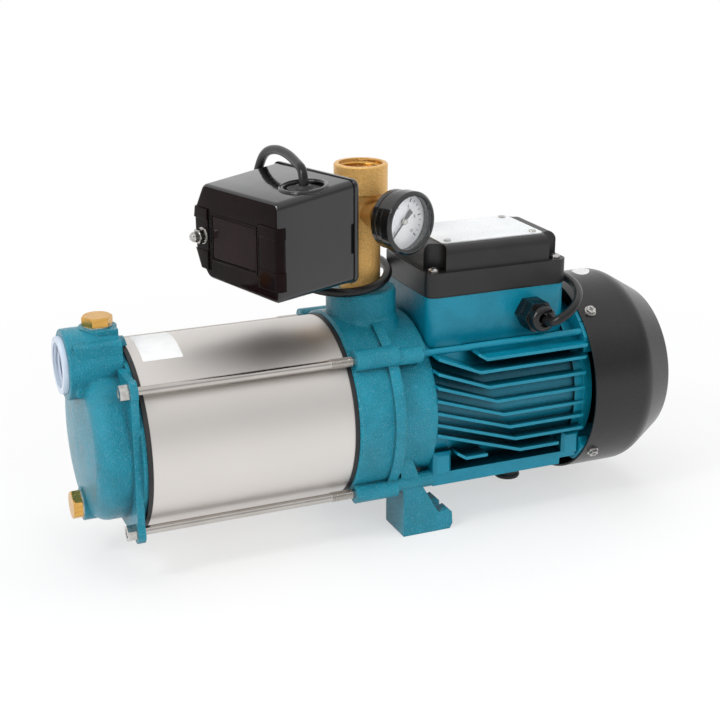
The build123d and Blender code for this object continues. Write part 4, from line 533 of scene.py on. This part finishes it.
rod_threads = joined([
    helix_thread(along_x(-45.5, side_y * ROD_Y, side_z * ROD_Z), *ROD_THREAD, 18.3, 20)
    for side_y in (-1, 1) for side_z in (-1, 1)])
add_mesh("rod_threads", *rod_threads, rod_steel, "pump_body", "steel_rod")

outlet = Matrix.Translation(row(0, 0, OUTLET_THREAD_Z))
tank = BRANCH @ Matrix.Translation((0, 0, TANK_THREAD_OUT * MM))
fitting_threads = joined([
    helix_thread(port, *PIPE_THREAD, PORT_THREAD_LENGTH, 48) for port in (outlet, tank)])
add_mesh("fitting_threads", *fitting_threads, turned_brass, "pump_body", "brass")
bush_thread = helix_thread(along_x(-215.4, 0, SUCTION_Z), *PIPE_THREAD, 17.6, 48)
add_mesh("bush_thread", *bush_thread, port_plastic, "pump_body", "grey_plastic")


# Label on the shell and sticker on the fan cover

SHELL_RADIUS = 64.8
FAN_COVER_RADIUS = 73.7
LABEL_X = -165.0
LABEL_LENGTH = 27.0
LABEL_SKEW = 0.8
LABEL_ANGLE = 65.8
LABEL_TURN = 46.0
STICKER_HALF_LENGTH = 12.0
STICKER_HALF_WIDTH = 6.6
STICKER_X = 184.0
STICKER_ARC = 123.0
STICKER_COS = 0.47
STICKER_SIN = 0.88


def curved_patch(name, place_at, rows, columns):
    """Thin paper on a curved surface, from a function of (u, v) in 0..1 and a lift."""
    points = [
        place_at(i / (rows - 1), j / (columns - 1), lift)
        for lift in (0.02, 0.14) for i in range(rows) for j in range(columns)]
    count = rows * columns
    faces = grid_faces(rows, columns) + grid_faces(rows, columns, start=count)
    rim = list(range(columns)) + [i * columns + columns - 1 for i in range(1, rows)]
    rim += [(rows - 1) * columns + j for j in range(columns - 2, -1, -1)]
    rim += [i * columns for i in range(rows - 2, 0, -1)]
    for first, second in zip(rim, rim[1:] + rim[:1]):
        faces.append((first, second, second + count, first + count))
    add_mesh(name, points, faces, white_paper, "pump_body", "white_plate")


def label_at(u, v, lift):
    """Slightly skewed rectangle on the shell."""
    x = LABEL_X + LABEL_LENGTH * u + LABEL_SKEW * v
    return shell_point(x, LABEL_ANGLE + LABEL_TURN * v, SHELL_RADIUS + lift)


curved_patch("shell_label", label_at, 12, 24)


def sticker_at(u, v, lift):
    """Oval on the fan cover, from a square by squeezing its rows."""
    a, b = 2 * u - 1, 2 * v - 1
    disc_a = a * sqrt(1 - b * b / 2)
    disc_b = b * sqrt(1 - a * a / 2)
    along = STICKER_HALF_LENGTH * disc_a
    across = STICKER_HALF_WIDTH * disc_b
    x = STICKER_X + STICKER_COS * along + STICKER_SIN * across
    arc = STICKER_ARC + STICKER_SIN * along - STICKER_COS * across
    return shell_point(x, arc / FAN_COVER_RADIUS * 180 / pi, FAN_COVER_RADIUS + lift)


curved_patch("fan_cover_sticker", sticker_at, 17, 17)


# Dial and needle hub

DIAL_FACE = 42.6
DIAL_START = 225
DIAL_SWEEP = 270
TICK_COUNT = 20
TICK_OUTER = 16.5
FIGURE_COUNT = 5
FIGURE_RADIUS = 10.8
FIGURE_SIZE = 3.2
PRINT_DEPTH = 0.02


def dial_point(radius, angle, lift):
    """Point over the dial, in the row frame."""
    turn = radians(angle)
    along = radius * MM
    return GAUGE @ Vector((along * cos(turn), along * sin(turn), (DIAL_FACE + lift) * MM))


def dial_bar(inner, outer, angle, width):
    """Printed tick on the dial."""
    half = width / 2
    side = Vector((-sin(radians(angle)), cos(radians(angle)), 0)) * half * MM
    level = GAUGE.to_3x3() @ side
    points = []
    for lift in (PRINT_DEPTH, 3 * PRINT_DEPTH):
        for radius in (inner, outer):
            centre = dial_point(radius, angle, lift)
            points += [centre - level, centre + level]
    return points, BOX_FACES


ticks = []
for number in range(TICK_COUNT + 1):
    angle = DIAL_START - DIAL_SWEEP * number / TICK_COUNT
    inner, width = (13.6, 0.75) if number % 4 == 0 else (15.0, 0.5)
    ticks.append(dial_bar(inner, TICK_OUTER, angle, width))
add_mesh("dial_ticks", *joined(ticks), dial_black, "pump_body", "needle_black", smooth=False)


def number_mesh(text, place):
    """Points and faces of a small printed number."""
    data = bpy.data.curves.new("number", "FONT")
    data.body = text
    data.size = FIGURE_SIZE * MM
    data.align_x = "CENTER"
    data.align_y = "CENTER"
    data.extrude = PRINT_DEPTH * MM
    data.resolution_u = 3
    helper = new_object("number", data)
    mesh = evaluated_mesh(helper)
    points = [place @ corner.co for corner in mesh.vertices]
    faces = [tuple(face.vertices) for face in mesh.polygons]
    bpy.data.objects.remove(helper)
    bpy.data.meshes.remove(mesh)
    return points, faces


figures = []
for number in range(FIGURE_COUNT + 1):
    turn = radians(DIAL_START - DIAL_SWEEP * number / FIGURE_COUNT)
    along = FIGURE_RADIUS * MM
    spot = Vector((along * cos(turn), along * sin(turn), (DIAL_FACE + 0.05) * MM))
    figures.append(number_mesh(str(2 * number), GAUGE @ Matrix.Translation(spot)))
add_mesh("dial_figures", *joined(figures), dial_black, "pump_body", "needle_black", smooth=False)

hub = lathe(GAUGE, [
    (0.02, 43.9), (2.05, 43.9), (2.05, 45.1), (1.85, 45.45), (1.3, 45.65), (0.5, 45.7),
    (0.02, 45.7)], 32)
add_mesh("needle_hub", *hub, zinc_plate, "gauge_needle", "needle_black")


# Window panel of the switch

def rounded_rectangle(left, right, low, high, corner, steps=6):
    """Outline points of a rounded rectangle, anticlockwise."""
    outline = []
    for x, y, start in (
        (right - corner, low + corner, -90), (right - corner, high - corner, 0),
        (left + corner, high - corner, 90), (left + corner, low + corner, 180)):
        for step in range(steps + 1):
            turn = radians(start + 90 * step / steps)
            outline.append((x + corner * cos(turn), y + corner * sin(turn)))
    return outline


def panel(place, left, right, low, high, corner, back, front, edge):
    """Closed panel with a bevelled rim, in mm of a frame."""
    points = []
    levels = ((0.0, back), (0.0, front - edge), (edge, front), (edge * 4, front + 0.02))
    for inset, height in levels:
        outline = rounded_rectangle(left + inset, right - inset, low + inset, high - inset, corner)
        points += [place @ Vector((x * MM, y * MM, height * MM)) for x, y in outline]
    count = len(points) // len(levels)
    return points, grid_faces(len(levels), count, True) + end_caps(len(levels), count)


window = panel(SWITCH, -31.1, 15.4, -17.8, 11.0, 1.0, 102.35, 103.4, 0.3)
add_mesh("switch_window", *window, window_gloss, "pump_body", "black_gloss")


# Rubber foot under the motor

FOOT_DEPTH = 82.0


def foot_piece():
    """Round foot on the stub, clear of the floor, in place of the plain one."""
    low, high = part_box("support_foot")
    place = Matrix.Translation(Vector(((low[0] + high[0]) / 2, 0, 0)))
    top = high[2] / MM
    bottom = SHAFT_Z / MM - FOOT_DEPTH
    outline = [
        (0.02, top), (7.0, top), (7.6, top - 0.6), (8.6, bottom + 4), (9.6, bottom + 3),
        (9.8, bottom + 1.8), (9.2, bottom + 0.5), (8.0, bottom), (3.0, bottom), (2.4, bottom + 0.8),
        (0.02, bottom + 0.8)]
    foot = add_mesh("motor_rubber_foot", *lathe(place, outline), rubber, "pump_body", "black_rubber")
    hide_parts("support_foot")


foot_piece()


# Switch cover with its bands and lead entry

COVER_BACK = 41.1
COVER_FRONT = 103.7
COVER_EDGE = 2.8
COVER_WALL = 2.2
COVER_TOP = 36.8
TOP_FALL = 5.9
BAND_PROUD = 1.3
BAND_STEP = 0.7
BAND_LOW = -26.5
BAND_HIGH = 15
BAND_LEFT = -35.3
BAND_RIGHT = 20.3
GROOVE_WIDTH = 2.2
ENTRY_ACROSS = 22.5
ENTRY_ALONG = 69.0
ENTRY_RADIUS = 13.2
ENTRY_SIDES = 64


def cover_corners(share):
    """Corners of the cover as (across, up, rounding) in mm: share 0 is its back, 1 its front."""
    top = COVER_TOP - TOP_FALL * share
    right = 39.9 - 0.7 * share
    left = -42.0 + 0.9 * share
    cheek = -50.0 - 1.2 * share
    low_right = -32.0 - 2.6 * share
    return [
        (right, low_right, 5), (right, top, 5), (left, top, 6), (cheek, 13.2, 14),
        (cheek, -11.0, 14), (-45.5, -23.6, 10), (-37.0, -32.8, 8)]


def rounded_outline(corners, inset, steps=6):
    """Outline of a convex polygon, anticlockwise, moved in and rounded at its corners."""
    lines = []
    for i, corner in enumerate(corners):
        start = Vector(corner[:2])
        along = (Vector(corners[(i + 1) % len(corners)][:2]) - start).normalized()
        lines.append((start + Vector((-along.y, along.x)) * inset, along))
    outline = []
    for i, (place, along) in enumerate(lines):
        before, into = lines[i - 1]
        gap = place - before
        share = (gap.x * along.y - gap.y * along.x) / (into.x * along.y - into.y * along.x)
        corner = before + into * share
        radius = max(corners[i][2] - inset, 0.5)
        turn = into.angle(along)
        centre = corner - into * radius * tan(turn / 2) + Vector((-into.y, into.x)) * radius
        first = atan2(-into.x, into.y)
        for step in range(steps + 1):
            angle = first + turn * step / steps
            outline.append(centre + Vector((cos(angle), sin(angle))) * radius)
    return outline


def cover_levels():
    """(place along the switch axis, inset) from the open back round the front edge."""
    straight = COVER_FRONT - COVER_EDGE - COVER_BACK
    levels = [(COVER_BACK + straight * i / 4, 0.0) for i in range(5)]
    for step in range(1, 7):
        turn = pi / 2 * step / 6
        levels.append((COVER_FRONT - COVER_EDGE * (1 - sin(turn)), COVER_EDGE * (1 - cos(turn))))
    return levels


def cover_skin():
    """Outer skin of the cover, open at the back."""
    points = []
    levels = cover_levels()
    for along, inset in levels:
        share = (along - COVER_BACK) / (COVER_FRONT - COVER_BACK)
        outline = rounded_outline(cover_corners(share), inset)
        points += [SWITCH @ Vector((q.x * MM, q.y * MM, along * MM)) for q in outline]
    count = len(points) // len(levels)
    front_face = end_caps(len(levels), count)[1]
    return points, grid_faces(len(levels), count, True) + [front_face]


def slab(place, across, up, along):
    """Points and faces of a block between two limits on each axis, in mm of a frame."""
    points = [place @ (Vector((x, y, z)) * MM) for x in across for y in up for z in along]
    return points, BOX_FACES


def entry_frame():
    """Frame on the sloping top of the cover, z straight off it."""
    share = (ENTRY_ALONG - COVER_BACK) / (COVER_FRONT - COVER_BACK)
    height = COVER_TOP - TOP_FALL * share
    place = Matrix.Translation(Vector((ENTRY_ACROSS, height, ENTRY_ALONG)) * MM)
    slope = atan2(TOP_FALL, COVER_FRONT - COVER_BACK)
    return SWITCH @ place @ Matrix.Rotation(slope - pi / 2, 4, "X")


def apply_modifiers(piece):
    """Modifiers of a piece made part of its mesh."""
    mesh = evaluated_mesh(piece)
    piece.modifiers.clear()
    piece.data = mesh


def cut_away(piece, points, faces):
    """Closed shape cut from a piece."""
    helper = new_object("cut", outward_mesh("cut", points, faces))
    cut = piece.modifiers.new("cut", "BOOLEAN")
    cut.object = helper
    cut.solver = "EXACT"
    apply_modifiers(piece)
    bpy.data.objects.remove(helper)


def band_side(up, side):
    """Edge of the cover's front at one height: right for side 1, left for side -1."""
    outline = rounded_outline(cover_corners(1.0), 0.0)
    edges = [
        start.x for start, end in zip(outline, outline[1:] + outline[:1])
        if min(start.y, end.y) <= up <= max(start.y, end.y)]
    return max(edges) if side > 0 else min(edges)


def band(side, inner_edge):
    """Raised band round a front corner of the cover, set back in the middle of its height."""
    levels = [
        (BAND_LOW, 0.3), (BAND_LOW + 0.3, 0), (-13.9, 0), (-13.6, BAND_STEP), (-5, BAND_STEP),
        (0, BAND_STEP), (7.3, BAND_STEP), (7.6, 0), (BAND_HIGH - 0.3, 0), (BAND_HIGH, 0.3)]
    radius = COVER_EDGE + BAND_PROUD
    points = []
    for up, drop in levels:
        edge = band_side(up, side) + side * (BAND_PROUD - drop)
        front = COVER_FRONT + BAND_PROUD - drop
        profile = [
            (inner_edge, COVER_FRONT - 0.6), (inner_edge, front - 0.3),
            (inner_edge + side * 0.3, front)]
        for step in range(7):
            turn = pi / 2 * step / 6
            profile.append((
                edge - side * radius * (1 - sin(turn)), front - radius * (1 - cos(turn))))
        profile += [(edge - side * 0.1, COVER_FRONT - 5.2), (edge - side * 0.4, COVER_FRONT - 5.5)]
        profile += [(edge - side * 2.4, COVER_FRONT - 5.5), (edge - side * 4.0, COVER_FRONT - 0.6)]
        points += [SWITCH @ (Vector((x, up, along)) * MM) for x, along in profile]
    count = len(points) // len(levels)
    return points, grid_faces(len(levels), count, True) + end_caps(len(levels), count)


def ring_frame(place, left, right, low, high, width, back, front):
    """Raised line round a rectangle."""
    points = []
    edge = 0.15
    levels = [
        (0, back), (0, front - edge), (edge, front), (width - edge, front), (width, front - edge),
        (width, back)]
    for inset, height in levels:
        outline = rounded_rectangle(left + inset, right - inset, low + inset, high - inset, 1.0, 3)
        points += [place @ (Vector((x, y, height)) * MM) for x, y in outline]
    count = len(points) // len(levels)
    last = (len(levels) - 1) * count
    under = [(last + j, last + (j + 1) % count, (j + 1) % count, j) for j in range(count)]
    return points, grid_faces(len(levels), count, True) + under


def switch_cover_piece():
    """Moulded shell with grooves beside its bands, a recess, a side notch and the lead entry."""
    cover = add_mesh("switch_cover_shell", *cover_skin(), gloss_black, "pump_body", "black_gloss")
    wall = cover.modifiers.new("wall", "SOLIDIFY")
    wall.thickness = COVER_WALL * MM
    wall.offset = -1
    wall.use_even_offset = True
    apply_modifiers(cover)
    height = (BAND_LOW, BAND_HIGH)
    deep = (COVER_FRONT - 1.2, COVER_FRONT + 2)
    cut_away(cover, *slab(SWITCH, (BAND_LEFT, BAND_LEFT + GROOVE_WIDTH), height, deep))
    cut_away(cover, *slab(SWITCH, (BAND_RIGHT - GROOVE_WIDTH, BAND_RIGHT), height, deep))
    recess = (COVER_FRONT - 1.4, COVER_FRONT + 2)
    cut_away(cover, *slab(SWITCH, (-31.5, 15.8), (-18.2, 11.4), recess))
    cut_away(cover, *slab(SWITCH, (38.7, 60), (-11.2, 8.5), (30, 43.6)))
    drill = [(0.02, -8), (ENTRY_RADIUS, -8), (ENTRY_RADIUS, 6), (0.02, 6)]
    points, faces = lathe(entry_frame(), drill, ENTRY_SIDES)
    cut_away(cover, points, faces + end_caps(len(drill), ENTRY_SIDES))
    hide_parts("switch_cover")
    cover.data.materials.append(shaded_front_black)
    # Painted shade: faces that look straight out of the front take the darker, less reflective copy of
    # the black.
    for face in cover.data.polygons:
        face.material_index = 1 if face.normal.dot(SWITCH_OUT) > 0.92 else 0
        face.use_smooth = True
    bevel = cover.modifiers.new("edges", "BEVEL")
    bevel.width = 0.25 * MM
    bevel.segments = 2
    bevel.limit_method = "ANGLE"
    bevel.angle_limit = radians(40)
    bevel.harden_normals = True
    apply_modifiers(cover)


switch_cover_piece()
# The bands and the window frame take the same darker front copy of the black: painted shade.
bands = joined([band(1, BAND_RIGHT), band(-1, BAND_LEFT)])
add_mesh("switch_cover_bands", *bands, shaded_front_black, "pump_body", "black_gloss")
border = ring_frame(SWITCH, -32.9, 17.2, -19.6, 12.8, 1.2, COVER_FRONT - 0.5, COVER_FRONT + 0.45)
add_mesh("switch_window_frame", *border, shaded_front_black, "pump_body", "black_gloss")
well = lathe(entry_frame(), [
    (16.4, -1.0), (16.4, 0.7), (16.1, 1.2), (15.5, 1.45), (14.6, 1.5), (13.9, 1.3), (13.5, 0.9),
    (ENTRY_RADIUS, 0.2), (ENTRY_RADIUS, -2.6), (9.5, -2.6), (9.5, -3.8), (15.0, -3.8),
    (16.4, -1.0)], 72)
add_mesh("switch_entry_ring", *well, gloss_black, "pump_body", "black_gloss")


# Studio

def area_light(name, place, aim, size, size_y, power, mirrored=False):
    """Soft lamp. It shows in reflections only if mirrored: the room below gives the others."""
    data = bpy.data.lights.new(name, "AREA")
    data.shape = "RECTANGLE"
    data.size = size
    data.size_y = size_y
    data.energy = power
    light = new_object(name, data)
    light.visible_glossy = mirrored
    light.location = place
    light.rotation_mode = "QUATERNION"
    light.rotation_quaternion = (Vector(aim) - Vector(place)).to_track_quat("-Z", "Y")


area_light("top_softbox", (0.0, 0.2, 1.4), (0, 0, 0.1), 1.7, 1.4, 12)
area_light("left_softbox", (-1.5, -0.6, 0.9), (-0.1, 0, 0.1), 0.9, 0.9, 8, mirrored=True)
area_light("left_key", (-1.2, -0.5, 1.3), (-0.1, 0, 0.1), 0.30, 0.30, 6, mirrored=True)
area_light("right_softbox", (1.6, -0.4, 0.8), (0.1, 0, 0.1), 1.2, 1.2, 10)
area_light("front_fill", (0.4, -1.9, 1.1), (0, 0, 0.1), 1.1, 1.0, 14)


def seen_rays(tree):
    """1 for camera, mirror and see-through rays, 0 for the light that falls on the object."""
    paths = tree.nodes.new("ShaderNodeLightPath")
    total = paths.outputs["Is Camera Ray"]
    for name in ("Is Glossy Ray", "Is Transmission Ray"):
        total = math_out(tree, "ADD", total, paths.outputs[name], clamp=True)
    return total


def blended(tree, factor, first, second):
    """Two shaders mixed by a factor."""
    node = tree.nodes.new("ShaderNodeMixShader")
    tree.links.new(factor, node.inputs[0])
    tree.links.new(first, node.inputs[1])
    tree.links.new(second, node.inputs[2])
    return node.outputs[0]


def grey_ramp(tree, source, stops):
    """Grey levels along a value, from (position, level) pairs."""
    node = tree.nodes.new("ShaderNodeValToRGB")
    elements = node.color_ramp.elements
    while len(elements) < len(stops):
        elements.new(0.5)
    for element, (position, level) in zip(elements, stops):
        element.position = position
        element.color = (level, level, level, 1)
    tree.links.new(source, node.inputs["Fac"])
    return node.outputs["Color"]


world = bpy.data.worlds.new("studio")
world.use_nodes = True
sky = world.node_tree
plain = sky.nodes["Background"]
plain.inputs["Color"].default_value = (0.92, 0.94, 0.96, 1)
plain.inputs["Strength"].default_value = 0.24
heading = sky.nodes.new("ShaderNodeTexCoord")
split = sky.nodes.new("ShaderNodeSeparateXYZ")
sky.links.new(heading.outputs["Generated"], split.inputs[0])
room = sky.nodes.new("ShaderNodeBackground")
near_side = grey_ramp(sky, split.outputs["Z"], [
    (0.0, 0.90), (0.06, 0.72), (0.28, 0.48), (0.52, 0.62), (0.74, 0.96), (1.0, 1.0)])
far_side = grey_ramp(sky, split.outputs["Z"], [(0.0, 1.0), (0.3, 1.0), (0.6, 0.95), (1.0, 1.0)])
sky.links.new(
    mix_colour(sky, ramp(sky, split.outputs["Y"], -0.1, 0.45), near_side, far_side),
    room.inputs["Color"])
room.inputs["Strength"].default_value = 1.0
sky.links.new(
    blended(sky, seen_rays(sky), plain.outputs[0], room.outputs[0]),
    sky.nodes["World Output"].inputs["Surface"])
bpy.context.scene.world = world

floor_mat, floor_tree, floor_bsdf = new_material("white_floor")
floor_noise = noise_out(floor_tree, mapped(floor_tree), 3.0)
floor_tree.links.new(
    mix_colour(floor_tree, floor_noise, (0.93, 0.93, 0.93), (0.95, 0.95, 0.95)),
    floor_bsdf.inputs["Base Color"])
floor_bsdf.inputs["Roughness"].default_value = 0.7
floor_bsdf.inputs["Specular IOR Level"].default_value = 0.2
far = floor_tree.nodes.new("ShaderNodeVectorMath")
far.operation = "LENGTH"
floor_tree.links.new(mapped(floor_tree), far.inputs[0])
fade = ramp(floor_tree, far.outputs["Value"], 0.16, 0.62, 0.55, 1.0)
reach = math_out(floor_tree, "MULTIPLY", fade, seen_rays(floor_tree))
glow = floor_tree.nodes.new("ShaderNodeEmission")
floor_tree.links.new(
    blended(floor_tree, reach, floor_bsdf.outputs[0], glow.outputs[0]),
    floor_tree.nodes["Material Output"].inputs["Surface"])
floor_mesh = bpy.data.meshes.new("floor")
floor_mesh.from_pydata([(-9, -4, 0), (9, -4, 0), (9, 14, 0), (-9, 14, 0)], [], [(0, 1, 2, 3)])
floor_mesh.materials.append(floor_mat)
floor = new_object("floor", floor_mesh)

scene = bpy.context.scene
scene.view_settings.view_transform = "Standard"
yaw = radians(22.96)
pitch = radians(19.4)
camera_data = bpy.data.cameras.new("camera")
camera_data.lens = 71.62
camera_data.sensor_width = 36
camera = new_object("camera", camera_data)
camera.location = (-0.4179, -0.8908, 0.4580)
look = Vector((sin(yaw) * cos(pitch), cos(yaw) * cos(pitch), -sin(pitch)))
camera.rotation_mode = "QUATERNION"
camera.rotation_quaternion = look.to_track_quat("-Z", "Y")
scene.camera = camera
